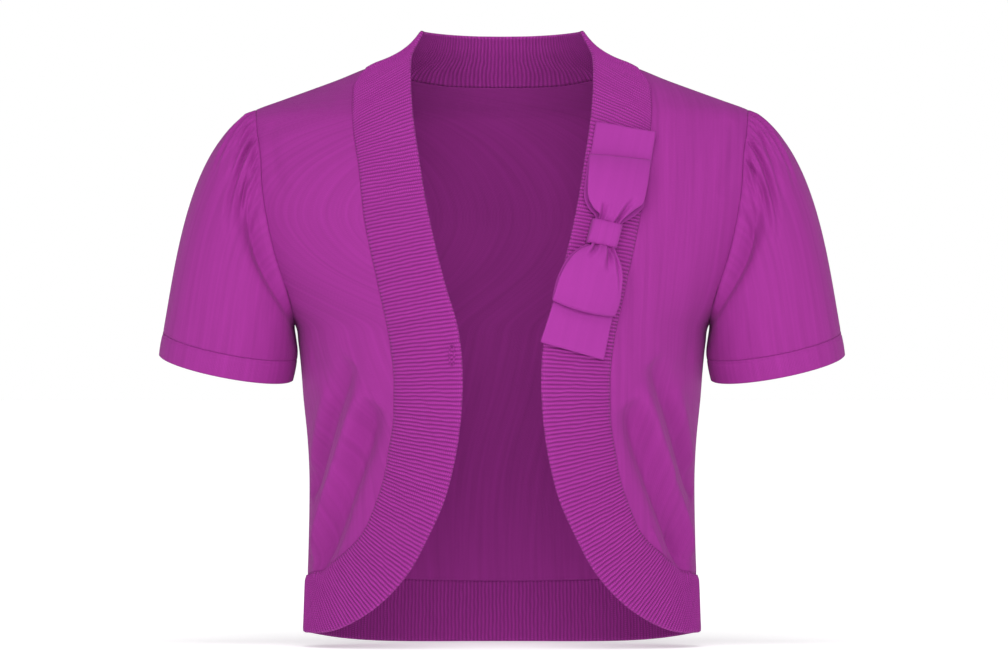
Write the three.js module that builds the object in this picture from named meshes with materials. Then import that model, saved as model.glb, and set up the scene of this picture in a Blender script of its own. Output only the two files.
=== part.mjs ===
// A short-sleeved bolero in fine jersey, open down the front and worn filled out. A wide band of
// vertical ribs runs round its whole edge, and a flat bow sits on the band of the left front.
// Sizes are in millimetres. +Z is up, +X is the wearer's left and the front faces -Y. The origin
// lies between the inner ends of the two shoulder seams, where the garment rests on the wearer.
import * as THREE from "three";

const CLOTH = 1.3; // wall of the jersey
const BAND_RISE = 0.9; // how much thicker the band is than the jersey
const RIB_HEIGHT = 0.8; // how far a rib stands up from the band
const RIB_PITCH = 2.75; // distance from rib to rib
const RIBS_PER_INNER_STEP = 8; // the plain inside of a band has one face for so many ribs
const SEAM_GAP = 0.4; // between two pieces that are sewn together
const FRONT_INSET = 0.6; // of a front from its band, because the front has longer faces
const SLEEVE_INSET = 0.65; // of a sleeve from its armhole
const LYING_GAP = 0.3; // between two layers of the bow
const SHOULDER_TIP_Z = -30;
const UNDERARM_Z = -185;
const SIDE_HEM_SEAM_Z = -365;
const BACK_HEM_SEAM_Z = -371.5;
const SIDE_HEM_Z = -405.4;
const BACK_HEM_Z = -414.5;
const CUFF_HEIGHT = 16.5;
const CUFF_HALF_WIDTH = 49.2;
const CUFF_HALF_DEPTH = 44;
const CUFF_CENTRE = new THREE.Vector3(198.5, -5, -215.2);
const CUFF_TILT = 10.7; // degrees, the outer end of the cuff is the higher one
const CUFF_DIP = 10; // degrees, the front of the cuff is lower than its back
const SLEEVE_COLUMNS = 56;
const SLEEVE_ROWS = 10;
const HEAD_CROWDING = 0.45; // how much closer the columns lie at the sleeve head
const GATHER_DEPTH = 4;
const GATHER_REACH = 0.42; // share of the sleeve's length that the gathers run down
const BOW_ANGLE = 13.7; // degrees from upright
const BOW_CENTRE = new THREE.Vector2(71.8, -121.5); // x and z of the knot
const BOW_CLOTH = 1.2;
const KNOT_HALF_WIDTH = 11;
const KNOT_HALF_LENGTH = 8.2;

const DEGREE = Math.PI / 180;

// Gives each row of a table its columns by name.
function table(names, rows) {
  const keys = names.split(" ");
  return rows.map((row) => Object.fromEntries(keys.map((key, i) => [key, row[i]])));
}

// Level sections of the wearer's form, with the top of the arms. pinch is 1 where the section is
// an ellipse, and more where its sides come to the edge of the shoulder.
const BODY = table("z halfWidth front back pinch", [
  [-425, 142.2, 102, 98, 0.95],
  [-383, 140.8, 104, 96.5, 0.95],
  [-347, 139.4, 106, 95.5, 0.95],
  [-300, 138.6, 111, 95.5, 0.95],
  [-268, 139.9, 115.5, 96.5, 0.95],
  [-239, 142.8, 119, 98, 0.95],
  [-212, 145, 121, 99.5, 0.95],
  [-198, 146.6, 121, 101, 0.97],
  [-185, 149, 120.5, 102, 1],
  [-170, 163, 119, 103.5, 1.15],
  [-150, 182, 116, 105, 1.35],
  [-120, 197, 109, 105, 1.4],
  [-90, 202, 97, 101, 1.4],
  [-60, 198, 82, 93, 1.4],
  [-45, 192, 73, 87, 1.38],
  [-30, 177, 62, 80, 1.35],
  [-23, 158, 57.5, 76, 1.35],
  [-15.8, 138, 53, 72, 1.35],
  [-8.6, 118.4, 49, 68, 1.35],
  [0, 97.4, 43.5, 63, 1.35],
  [5.8, 81.6, 39, 60, 1.35],
  [13, 69, 34, 56, 1.35],
  [20.2, 61.4, 29, 53, 1.35],
  [26, 57, 25, 50, 1.35],
  [36, 49, 18, 43, 1.35],
]);

// The seam of the armhole as it shows from the front.
const ARMHOLE = table("z x", [
  [UNDERARM_Z, 149],
  [-178, 149.6],
  [-165.6, 152.6],
  [-154, 156.2],
  [-136, 162],
  [-111.6, 167.8],
  [-87.8, 171.8],
  [-60, 173.8],
  [-46.8, 175.8],
  [SHOULDER_TIP_Z, 177],
]);

// The band of a front, from the shoulder to the side: its free edge and its seam, in pairs that
// lie across from each other. Where x is past the form, the edge lies on its side.
const BAND = table("freeX freeZ seamX seamZ", [
  [57.2, 25.9, 97.6, 0],
  [65.5, 5.8, 106.6, -15.8],
  [65.9, -8.6, 106.9, -30.2],
  [64.8, -30, 105.9, -47],
  [59.8, -66.2, 101.9, -74],
  [54, -101, 98, -109],
  [42, -152.6, 86.8, -162],
  [31.2, -191, 79.6, -197],
  [28.5, -224.6, 76.7, -226],
  [30, -253.4, 76.9, -249],
  [34.3, -282.2, 80.2, -272.5],
  [42, -311, 84.2, -295],
  [52.5, -334.5, 90.5, -314],
  [66.2, -360, 99.5, -334],
  [83.5, -380.2, 112, -347.5],
  [105, -396, 126.5, -358],
  [124, -403.8, 136, -363],
  [142.8, SIDE_HEM_Z, 140.7, SIDE_HEM_SEAM_Z],
]);

// The collar and the hem behind, by the angle from the centre of the back.
const COLLAR = table("fromBack freeZ seamZ", [
  [0, 23.1, -12.4],
  [20, 23.3, -11],
  [32, 23.7, -7.9],
  [60, 24.9, -2.2],
  [90, 25.9, 0],
]);

// Soft folds of the fronts and of the back beside the waist: ridges and, where height is less
// than nothing, troughs.
const FOLDS = table("startAngle startZ endAngle endZ width height", [
  [43, -238, 78, -344, 7.5, 3.4],
  [42, -254, 61, -346, 9, -4.6],
  [57.6, -248, 74, -303, 6, -2.6],
  [65, -236, 77.3, -276, 5, 1.6],
  [128, -262, 112, -340, 9, -2.5],
  [140, -270, 128, -346, 9, 2],
]);
const MM_PER_DEGREE = 2.2; // along the form, near the waist
const FOLD_TAPER = 0.15; // share of a fold's length at each end, over which it fades away

// How a sleeve leaves its armhole: how far it heads outwards, to the front or back, and down, and
// how far it comes straight down to the cuff. turn is 0 at the shoulder and 180 under the arm.
const SLEEVE = table("turn outwards sideways down arrive", [
  [0, 146, 0, 68, 150],
  [45, 118, 50, 56, 125],
  [90, 62, 58, 48, 95],
  [135, 22, 28, 36, 60],
  [180, 1, 0, 14, 20],
]);

// One half of the strip that makes both loops of the bow, seen from its side: distance from the
// knot along the bow, and height of the middle of the cloth over the form.
const BOW_LOOP = table("along height", [
  [0, 5.6],
  [9.5, 5.7],
  [18, 8.2],
  [30, 10.8],
  [43, 10.2],
  [52, 8.2],
  [55.6, 6.1],
  [52.5, 4.4],
  [40, 4.1],
  [20, 4.1],
  [8, 4.1],
]);

// Both edges of the bow's loops and of the strip under them, along the bow from its upper end.
const BOW_EDGES = table("along loopStart loopEnd tailStart tailEnd", [
  [-80, -23, 20.8, -23.9, 18.2],
  [-57, -22.9, 21, -22.2, 19.8],
  [-45, -22.1, 21.6, -21.6, 20.4],
  [-30, -20.6, 21.3, -20.6, 20.6],
  [-20, -17.8, 17.6, -18.4, 18.4],
  [-15, -13.4, 12.6, -14.6, 14],
  [-10.5, -7.4, 7.4, -7.8, 7.8],
  [0, -7.2, 7.2, -7.6, 7.6],
  [10.5, -7.4, 7.4, -7.8, 7.8],
  [15, -13.6, 12.2, -14.8, 13.4],
  [20, -17.8, 14.8, -18.6, 16],
  [30, -21.4, 17.4, -21.4, 17.8],
  [45, -23.5, 18.8, -22.8, 18.6],
  [57, -24.2, 19.4, -23.4, 19.2],
  [88, -24.6, 19.6, -26, 19.4],
]);

// Rows of the strip under the loops: how far along the bow each starts, and how much farther
// along it ends, because its ends are cut a little askew.
const TAIL_ROWS = table("along slant", [
  [-76, -3],
  [-65, -2],
  [-54, -1],
  [-42, 0],
  [-30, 0],
  [-20, 0],
  [-15, 0],
  [-10, 0],
  [0, 0],
  [10, 0],
  [15, 0],
  [20, 0],
  [30, 0],
  [42, 0],
  [56, 0],
  [70, 1],
  [84, 2],
]);

const JERSEY_FINISH = { color: 0xa1349a, roughness: 0.85, metalness: 0 };
const RIB_FINISH = { color: 0x9c3294, roughness: 0.88, metalness: 0 };
const BOW_FINISH = { color: 0xaa3aa2, roughness: 0.8, metalness: 0 };

// One column of a table as a smooth curve of another column, which never swings past its rows.
function smooth(rows, key, column) {
  const sorted = [...rows].sort((a, b) => a[key] - b[key]);
  const at = sorted.map((row) => row[key]);
  const value = sorted.map((row) => row[column]);
  const last = at.length - 1;
  const rise = at.slice(1).map((next, i) => (value[i + 1] - value[i]) / (next - at[i]));
  const slope = at.map((unused, i) => {
    if (i === 0) return rise[0];
    if (i === last) return rise[last - 1];
    const before = rise[i - 1];
    const after = rise[i];
    if (before * after <= 0) return 0;
    const weight = (at[i + 1] - at[i]) / (at[i + 1] - at[i - 1]);
    const mean = before * weight + after * (1 - weight);
    const steepest = 3 * Math.min(Math.abs(before), Math.abs(after));
    return Math.sign(mean) * Math.min(Math.abs(mean), steepest);
  });
  return (place) => {
    const clamped = Math.min(Math.max(place, at[0]), at[last]);
    let i = 0;
    while (i < last - 1 && clamped > at[i + 1]) i += 1;
    const step = at[i + 1] - at[i];
    const t = (clamped - at[i]) / step;
    const bend = t * t * (3 - 2 * t);
    const leave = t * (1 - t) * (1 - t) * step * slope[i];
    const arrive = t * t * (1 - t) * step * slope[i + 1];
    return value[i] + (value[i + 1] - value[i]) * bend + leave - arrive;
  };
}

const halfWidth = smooth(BODY, "z", "halfWidth");
const frontDepth = smooth(BODY, "z", "front");
const backDepth = smooth(BODY, "z", "back");
const pinch = smooth(BODY, "z", "pinch");
const armholeX = smooth(ARMHOLE, "z", "x");

// Point of the wearer's form. The angle is 0 at the centre front, 90 on the wearer's left side
// and on the left shoulder, 180 at the centre back and 270 on the right side.
function form(angle, z) {
  const forward = Math.cos(angle * DEGREE);
  const depth = forward > 0 ? frontDepth(z) : backDepth(z);
  const y = -Math.sign(forward) * depth * Math.abs(forward) ** pinch(z);
  return new THREE.Vector3(halfWidth(z) * Math.sin(angle * DEGREE), y, z);
}

const BESIDE_SEAM = 0.03; // cosine of the angle, under which a place counts as on the side seam

// Direction straight out of the form.
function outwards(angle, z) {
  const seam = Math.abs(Math.cos(angle * DEGREE)) < BESIDE_SEAM;
  const middle = seam ? (Math.sin(angle * DEGREE) > 0 ? 90 : 270) : angle;
  const across = form(middle + 1, z).sub(form(middle - 1, z));
  const down = form(middle, z - 1).sub(form(middle, z + 1));
  return down.cross(across).normalize();
}

// Height of the soft folds at a place of the form, the same on both sides of the body.
function foldHeight(angle, z) {
  const fromFront = angle > 180 ? 360 - angle : angle;
  let height = 0;
  for (const fold of FOLDS) {
    const alongX = (fold.endAngle - fold.startAngle) * MM_PER_DEGREE;
    const alongZ = fold.endZ - fold.startZ;
    const awayX = (fromFront - fold.startAngle) * MM_PER_DEGREE;
    const awayZ = z - fold.startZ;
    const length = Math.hypot(alongX, alongZ);
    const share = (awayX * alongX + awayZ * alongZ) / length ** 2;
    const onFold = Math.min(Math.max(share, FOLD_TAPER), 1 - FOLD_TAPER);
    const distance = Math.hypot(awayX - onFold * alongX, awayZ - onFold * alongZ);
    height += fold.height * Math.exp(-((distance / fold.width) ** 2));
  }
  return height;
}

// Point of the garment, a given height out from its jersey's face.
function skin(angle, z, height = 0) {
  const raised = height + foldHeight(angle, z);
  return form(angle, z).addScaledVector(outwards(angle, z), raised);
}

// Angle at which a point shows at x from the front, at most on the side of the form.
function angleAt(x, z) {
  return Math.asin(Math.min(1, x / halfWidth(z))) / DEGREE;
}

// Keeps a piece of the front half a seam's gap away from the shoulder and side seams.
function beforeSeam(angle, z) {
  const short = Math.acos((SEAM_GAP / 2 / frontDepth(z)) ** (1 / pinch(z))) / DEGREE;
  return Math.min(angle, short);
}

// Keeps a piece of the back the same distance away from both.
function behindSeam(angle, z) {
  const past = Math.acos((SEAM_GAP / 2 / backDepth(z)) ** (1 / pinch(z))) / DEGREE;
  return Math.min(Math.max(angle, 180 - past), 180 + past);
}

// Shares of a path at which its points lie evenly apart.
function evenShares(path, count) {
  const samples = 600;
  const lengths = [0];
  let before = path(0);
  for (let i = 1; i <= samples; i += 1) {
    const here = path(i / samples);
    lengths.push(lengths[i - 1] + here.distanceTo(before));
    before = here;
  }
  const shares = [];
  let i = 0;
  for (let k = 0; k <= count; k += 1) {
    const wanted = (lengths[samples] * k) / count;
    while (i < samples - 1 && lengths[i + 1] < wanted) i += 1;
    const part = (wanted - lengths[i]) / (lengths[i + 1] - lengths[i]);
    shares.push((i + Math.min(Math.max(part, 0), 1)) / samples);
  }
  return shares;
}

// A closed wall from a grid of points outside and a grid inside, which may be coarser. Both run
// the same way, and where the rows close on themselves only two rims are left.
function wall(outside, inside, closed = false) {
  const positions = [];
  const faces = [];
  const put = (grid) =>
    grid.map((row) => row.map((p) => positions.push(p.x, p.y, p.z) / 3 - 1));
  const ringed = (grid) => (closed ? grid.map((row) => [...row, row[0]]) : grid);
  const outer = ringed(put(outside));
  const inner = ringed(put(inside));
  const skinOver = (grid, facing) => {
    for (let i = 0; i < grid.length - 1; i += 1) {
      for (let j = 0; j < grid[i].length - 1; j += 1) {
        const a = grid[i][j];
        const b = grid[i][j + 1];
        const c = grid[i + 1][j + 1];
        const d = grid[i + 1][j];
        if (facing) faces.push(a, d, c, a, c, b);
        else faces.push(a, c, d, a, b, c);
      }
    }
  };
  const rim = (far, near) => {
    let i = 0;
    let k = 0;
    while (i < far.length - 1 || k < near.length - 1) {
      const farShare = (i + 1) / (far.length - 1);
      const nearShare = (k + 1) / (near.length - 1);
      if (k === near.length - 1 || (i < far.length - 1 && farShare <= nearShare + 1e-9)) {
        faces.push(far[i], far[i + 1], near[k]);
        i += 1;
      } else {
        faces.push(far[i], near[k + 1], near[k]);
        k += 1;
      }
    }
  };
  const side = (grid, j) => grid.map((row) => row.at(j));
  skinOver(outer, true);
  skinOver(inner, false);
  rim(outer[0], inner[0]);
  rim([...outer.at(-1)].reverse(), [...inner.at(-1)].reverse());
  if (!closed) {
    rim(side(outer, -1), side(inner, -1));
    rim(side(outer, 0).reverse(), side(inner, 0).reverse());
  }
  return facingOut(positions, faces);
}

// Makes the geometry, with its faces turned so that it holds a volume.
function facingOut(positions, faces) {
  const point = (i) => new THREE.Vector3().fromArray(positions, 3 * i);
  let volume = 0;
  for (let i = 0; i < faces.length; i += 3) {
    const [a, b, c] = [point(faces[i]), point(faces[i + 1]), point(faces[i + 2])];
    volume += a.dot(b.cross(c));
  }
  const geometry = new THREE.BufferGeometry();
  geometry.setAttribute("position", new THREE.Float32BufferAttribute(positions, 3));
  geometry.setIndex(volume < 0 ? faces.reverse() : faces);
  geometry.computeVertexNormals();
  return geometry;
}

// A piece built for the wearer's left, or its mirror image for the right.
function mirrored(grid, side) {
  return grid.map((row) => row.map((p) => new THREE.Vector3(p.x * side, p.y, p.z)));
}

const garment = new THREE.Group();

function sew(name, geometry, finish) {
  const mesh = new THREE.Mesh(geometry, new THREE.MeshStandardMaterial(finish));
  mesh.name = name;
  garment.add(mesh);
}

// Shares from 0 to 1, both included.
function steps(count) {
  return Array.from({ length: count + 1 }, (unused, i) => i / count);
}

// The front band's free edge and seam as curves of the distance along the band.
const frontPoint = (x, z) => form(angleAt(x, z), z);
const bandRows = [{ ...BAND[0], along: 0 }];
for (const row of BAND.slice(1)) {
  const before = bandRows.at(-1);
  const free = frontPoint(row.freeX, row.freeZ);
  const freeStep = free.distanceTo(frontPoint(before.freeX, before.freeZ));
  const seam = frontPoint(row.seamX, row.seamZ);
  const seamStep = seam.distanceTo(frontPoint(before.seamX, before.seamZ));
  bandRows.push({ ...row, along: before.along + (freeStep + seamStep) / 2 });
}
const BAND_LENGTH = bandRows.at(-1).along;
const bandCurve = {
  freeX: smooth(bandRows, "along", "freeX"),
  freeZ: smooth(bandRows, "along", "freeZ"),
  seamX: smooth(bandRows, "along", "seamX"),
  seamZ: smooth(bandRows, "along", "seamZ"),
};

// Place in the front band, by the share of its length and of its width. A share of the width
// past 1 lies on the front beside it.
function bandPlace(lengthShare, widthShare) {
  const along = lengthShare * BAND_LENGTH;
  const freeZ = bandCurve.freeZ(along);
  const seamZ = bandCurve.seamZ(along);
  const freeAngle = angleAt(bandCurve.freeX(along), freeZ);
  const seamAngle = angleAt(bandCurve.seamX(along), seamZ);
  const angle = freeAngle + (seamAngle - freeAngle) * widthShare;
  const z = freeZ + (seamZ - freeZ) * widthShare;
  return { angle: beforeSeam(angle, z), z };
}

function bandWidth(lengthShare) {
  const free = bandPlace(lengthShare, 0);
  const seam = bandPlace(lengthShare, 1);
  return form(free.angle, free.z).distanceTo(form(seam.angle, seam.z));
}

// Ribs stand up on a band: every second column of its outer grid is a rib's crest.
function ribbed(place, ribs, strips, shares) {
  const outer = steps(strips).map((across) =>
    shares.map((along, j) => {
      const at = place(along, across);
      return skin(at.angle, at.z, BAND_RISE + (j % 2) * RIB_HEIGHT);
    }),
  );
  const innerColumns = Math.max(4, Math.round(ribs / RIBS_PER_INNER_STEP));
  const inner = steps(strips).map((across) =>
    steps(innerColumns).map((share) => {
      const along = shares[Math.round(share * (shares.length - 1))];
      const at = place(along, across);
      return skin(at.angle, at.z, -CLOTH);
    }),
  );
  return [outer, inner];
}

function bandGrids() {
  const place = (along, across) =>
    bandPlace(along, across * (1 - SEAM_GAP / 2 / bandWidth(along)));
  const middle = (along) => {
    const at = place(along, 0.5);
    return form(at.angle, at.z);
  };
  const ribs = Math.round(BAND_LENGTH / RIB_PITCH);
  return ribbed(place, ribs, 2, evenShares(middle, 2 * ribs));
}

// The four-sided patch between four edges of [angle, z] places, rows from top to bottom.
function patch(top, bottom, left, right) {
  return left.map((start, i) => {
    const v = i / (left.length - 1);
    return top.map((upper, j) => {
      const u = j / (top.length - 1);
      const blend = (key) =>
        (1 - v) * upper[key] +
        v * bottom[j][key] +
        (1 - u) * start[key] +
        u * right[i][key] -
        (1 - u) * ((1 - v) * top[0][key] + v * bottom[0][key]) -
        u * ((1 - v) * top.at(-1)[key] + v * bottom.at(-1)[key]);
      return { angle: blend("angle"), z: blend("z") };
    });
  });
}

// Turn round the sleeve of each of its columns, closer together at the head.
function columnTurn(share) {
  return 360 * share - (HEAD_CROWDING * Math.sin(2 * Math.PI * share)) / DEGREE;
}

// Place on the armhole's seam at a turn round the sleeve.
function armholePlace(turn) {
  const middle = (SHOULDER_TIP_Z + UNDERARM_Z) / 2;
  const reach = (SHOULDER_TIP_Z - UNDERARM_Z) / 2;
  const z = middle + reach * Math.cos(turn * DEGREE);
  const angle = angleAt(armholeX(z), z);
  return { angle: Math.sin(turn * DEGREE) < 0 ? 180 - angle : angle, z };
}

const ARMHOLE_ROWS = 16;
const SIDE_ROWS = 12;
const FRONT_COLUMNS = 10;
const FRONT_CORNER = 0.735; // share of the band's length where the front's lower corner lies

// Down the front or back of the armhole from the shoulder, and on down the side seam.
function armholeAndSide(behind, bottomZ) {
  const places = steps(ARMHOLE_ROWS).map((share) => armholePlace((behind ? -180 : 180) * share));
  places[0].angle = 90;
  places[ARMHOLE_ROWS].angle = 90;
  for (const share of steps(SIDE_ROWS).slice(1)) {
    places.push({ angle: 90, z: UNDERARM_Z + (bottomZ - UNDERARM_Z) * share });
  }
  return places;
}

function frontGrids() {
  const rows = ARMHOLE_ROWS + SIDE_ROWS;
  const beside = (share) => bandPlace(share, 1 + FRONT_INSET / bandWidth(share));
  const left = steps(rows).map((share) => beside(share * FRONT_CORNER));
  const bottom = steps(FRONT_COLUMNS).map((share) =>
    beside(FRONT_CORNER + share * (1 - FRONT_CORNER)),
  );
  const right = armholeAndSide(false, bottom.at(-1).z);
  const top = steps(FRONT_COLUMNS).map((share) => ({
    angle: 90,
    z: left[0].z + (right[0].z - left[0].z) * share,
  }));
  const places = patch(top, bottom, left, right);
  const grid = (height) =>
    places.map((row) => row.map((at) => skin(beforeSeam(at.angle, at.z), at.z, height)));
  return [grid(0), grid(-CLOTH)];
}

const collarFree = smooth(COLLAR, "fromBack", "freeZ");
const collarSeam = smooth(COLLAR, "fromBack", "seamZ");

// Share of the collar's width that its solid takes up, short of the gap at its seam.
const COLLAR_SHARE = 0.993;

// Place on the collar, by the share of its length round the neck and of its width.
function collarPlace(lengthShare, widthShare) {
  const angle = 90 + 180 * lengthShare;
  const fromBack = Math.abs(angle - 180);
  const freeZ = collarFree(fromBack);
  const z = freeZ + (collarSeam(fromBack) - freeZ) * widthShare;
  return { angle: behindSeam(angle, z), z };
}

const HEM_CURVE = 4.8; // power of the sine, which keeps the hem level until close to the sides

// Heights of the hem band's seam and free edge, at an angle of the back.
function hemHeights(angle) {
  const sidewards = Math.abs(Math.sin(angle * DEGREE));
  return {
    seam: BACK_HEM_SEAM_Z + (SIDE_HEM_SEAM_Z - BACK_HEM_SEAM_Z) * sidewards ** 2,
    free: BACK_HEM_Z + (SIDE_HEM_Z - BACK_HEM_Z) * sidewards ** HEM_CURVE,
  };
}

function hemPlace(lengthShare, widthShare) {
  const angle = 90 + 180 * lengthShare;
  const { seam, free } = hemHeights(angle);
  const z = seam - SEAM_GAP / 2 + (free - seam + SEAM_GAP / 2) * widthShare;
  return { angle: behindSeam(angle, z), z };
}

function collarGrids() {
  const place = (along, across) => collarPlace(along, across * COLLAR_SHARE);
  const middle = (along) => {
    const at = place(along, 0.5);
    return form(at.angle, at.z);
  };
  const length = pathLength(middle);
  const ribs = Math.round(length / RIB_PITCH);
  return ribbed(place, ribs, 2, evenShares(middle, 2 * ribs));
}

function hemGrids() {
  const middle = (along) => {
    const at = hemPlace(along, 0.5);
    return form(at.angle, at.z);
  };
  const ribs = Math.round(pathLength(middle) / RIB_PITCH);
  return ribbed(hemPlace, ribs, 1, evenShares(middle, 2 * ribs));
}

function pathLength(path) {
  let length = 0;
  for (const share of steps(200).slice(1)) {
    length += path(share).distanceTo(path(share - 1 / 200));
  }
  return length;
}

const SHOULDER_ROWS = 4;
const BACK_COLUMNS = 16;
const MIDDLE_ROW_Z = -32; // height, in the middle of the back, of the row that ends at the tips

// Down the middle of the back its rows are even above and below the one that ends at the tips of
// the shoulders, and at its edges they follow the shoulder, armhole and side. In between, a row
// goes over from one to the other with the square of its distance from the middle.
function backGrids() {
  const columns = steps(BACK_COLUMNS).map((share) => {
    const angle = 90 + 180 * share;
    const top = collarPlace(share, 1).z - SEAM_GAP / 2;
    return { angle, top, bottom: hemHeights(angle).seam + SEAM_GAP / 2 };
  });
  const { top: neckZ, bottom: sideZ } = columns[0];
  const toTip = (share) => neckZ + (SHOULDER_TIP_Z - neckZ) * share;
  const shoulder = steps(SHOULDER_ROWS)
    .slice(0, -1)
    .map((share) => ({ angle: 90, z: toTip(share) }));
  const edge = [...shoulder, ...armholeAndSide(true, sideZ)];
  const middle = columns[BACK_COLUMNS / 2];
  const places = edge.map((side, i) => {
    const down = i / (edge.length - 1);
    const middleZ =
      i < SHOULDER_ROWS
        ? middle.top + ((MIDDLE_ROW_Z - middle.top) * i) / SHOULDER_ROWS
        : MIDDLE_ROW_Z +
          ((middle.bottom - MIDDLE_ROW_Z) * (i - SHOULDER_ROWS)) / (edge.length - 1 - SHOULDER_ROWS);
    return columns.map((column) => {
      const fromMiddle = Math.abs(column.angle - 180) / 90;
      const blend = (inner, outer) => inner + (outer - inner) * fromMiddle ** 2;
      const z =
        blend(middleZ, side.z) +
        (column.top - blend(middle.top, neckZ)) * (1 - down) ** 3 +
        (column.bottom - blend(middle.bottom, sideZ)) * down ** 3;
      const drawnIn = 90 * fromMiddle - (side.angle - 90) * fromMiddle ** 2;
      return { angle: 180 + Math.sign(column.angle - 180) * drawnIn, z };
    });
  });
  const grid = (height) =>
    places.map((row) => row.map((at) => skin(behindSeam(at.angle, at.z), at.z, height)));
  return [grid(0), grid(-CLOTH)];
}

const sleeveLeave = {
  outwards: smooth(SLEEVE, "turn", "outwards"),
  sideways: smooth(SLEEVE, "turn", "sideways"),
  down: smooth(SLEEVE, "turn", "down"),
  arrive: smooth(SLEEVE, "turn", "arrive"),
};

// The three directions of the cuff's ring: outwards, to the front, and down the arm.
const cuffOut = new THREE.Vector3(Math.cos(CUFF_TILT * DEGREE), 0, Math.sin(CUFF_TILT * DEGREE));
const cuffFront = new THREE.Vector3(0, -Math.cos(CUFF_DIP * DEGREE), -Math.sin(CUFF_DIP * DEGREE));
const cuffDown = new THREE.Vector3().crossVectors(cuffFront, cuffOut).normalize();
if (cuffDown.z > 0) cuffDown.negate();

// Point of the cuff's ring at a turn, a distance up from its lower edge, and a height out.
function cuffPoint(turn, up, height = 0) {
  const out = Math.cos(turn * DEGREE);
  const front = Math.sin(turn * DEGREE);
  return CUFF_CENTRE.clone()
    .addScaledVector(cuffOut, (CUFF_HALF_WIDTH + height) * out)
    .addScaledVector(cuffFront, (CUFF_HALF_DEPTH + height) * front)
    .addScaledVector(cuffDown, -up);
}

const ARM_HEADING = new THREE.Vector3(1, 0, -0.2); // roughly out of every armhole seam

// Point of the sleeve's face without its gathers, by turn and by share of its length.
function sleevePoint(turn, share) {
  const fromTop = Math.min(turn, 360 - turn);
  const frontward = turn > 180 ? -1 : 1;
  const place = armholePlace(turn);
  const start = form(place.angle, place.z);
  const before = armholePlace(turn - 1);
  const after = armholePlace(turn + 1);
  const alongSeam = form(after.angle, after.z).sub(form(before.angle, before.z)).normalize();
  const away = alongSeam.cross(outwards(place.angle, place.z)).normalize();
  if (away.dot(ARM_HEADING) < 0) away.negate();
  start.addScaledVector(away, SLEEVE_INSET);
  const end = cuffPoint(turn, CUFF_HEIGHT + SEAM_GAP / 2);
  const leave = new THREE.Vector3(
    sleeveLeave.outwards(fromTop),
    -frontward * sleeveLeave.sideways(fromTop),
    -sleeveLeave.down(fromTop),
  );
  const arrive = cuffDown.clone().multiplyScalar(sleeveLeave.arrive(fromTop));
  const t = share;
  return start
    .multiplyScalar((1 + 2 * t) * (1 - t) * (1 - t))
    .addScaledVector(leave, t * (1 - t) * (1 - t))
    .addScaledVector(end, t * t * (3 - 2 * t))
    .addScaledVector(arrive, -t * t * (1 - t));
}

function sleeveOutwards(turn, share) {
  if (share === 0) {
    const place = armholePlace(turn);
    return outwards(place.angle, place.z);
  }
  const across = sleevePoint(turn + 1, share).sub(sleevePoint(turn - 1, share));
  const lower = Math.min(share + 0.01, 1);
  const down = sleevePoint(turn, lower).sub(sleevePoint(turn, lower - 0.02));
  return across.cross(down).normalize();
}

// Height of the gathers: a wave of two columns that swells from the seam, fades down the sleeve
// and under the arm, and differs a little from gather to gather.
const GATHER_LAST_TURN = 106;
const GATHER_SWELL = 0.125; // share of the sleeve's length in which they reach their full height

function gather(column, turn, share) {
  const crest = column % 2 === 0 ? 1 : -1;
  const uneven = 0.7 + 0.3 * Math.sin(column * 1.9);
  const fromTop = Math.min(turn, 360 - turn);
  const head = Math.max(0, Math.cos(((fromTop / GATHER_LAST_TURN) * Math.PI) / 2));
  const fade = Math.max(0, 1 - share / GATHER_REACH) * Math.min(1, share / GATHER_SWELL);
  return (crest * uneven * GATHER_DEPTH * head * fade) / 2;
}

function sleeveGrids() {
  const columns = steps(SLEEVE_COLUMNS).slice(0, -1);
  const grid = (rows, height) =>
    steps(rows).map((share) =>
      columns.map((place, j) => {
        const turn = columnTurn(place);
        const puff = gather(j, turn, share);
        const at = sleevePoint(turn, share);
        return at.addScaledVector(sleeveOutwards(turn, share), height + puff);
      }),
    );
  return [grid(SLEEVE_ROWS, 0), grid(SLEEVE_ROWS / 2, -CLOTH)];
}

const CUFF_COLUMNS = 28;

function cuffGrids() {
  const columns = steps(CUFF_COLUMNS).slice(0, -1);
  const grid = (height) =>
    [CUFF_HEIGHT - SEAM_GAP / 2, 0].map((up) =>
      columns.map((share) => cuffPoint(360 * share, up, height)),
    );
  return [grid(0), grid(-CLOTH)];
}

// Point of the bow: along it from the knot, across it, and a height out from the jersey's face.
function bowPoint(along, across, height) {
  const lean = BOW_ANGLE * DEGREE;
  const x = BOW_CENTRE.x - along * Math.sin(lean) + across * Math.cos(lean);
  const z = BOW_CENTRE.y - along * Math.cos(lean) - across * Math.sin(lean);
  return skin(angleAt(x, z), z, height);
}

const TAIL_FLOOR = BAND_RISE + RIB_HEIGHT + LYING_GAP;
const BOW_COLUMNS = 6;

// How far across the bow a share of the width lies, between two edges of the table.
function bowAcross(startKey, endKey) {
  const start = smooth(BOW_EDGES, "along", startKey);
  const end = smooth(BOW_EDGES, "along", endKey);
  return (along, share) => start(along) + (end(along) - start(along)) * share;
}

function bowTailGrids() {
  const across = bowAcross("tailStart", "tailEnd");
  const grid = (height) =>
    TAIL_ROWS.map((row) =>
      steps(BOW_COLUMNS).map((share) => {
        const along = row.along + row.slant * share;
        return bowPoint(along, across(along, share), height);
      }),
    );
  return [grid(TAIL_FLOOR + BOW_CLOTH), grid(TAIL_FLOOR)];
}

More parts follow.
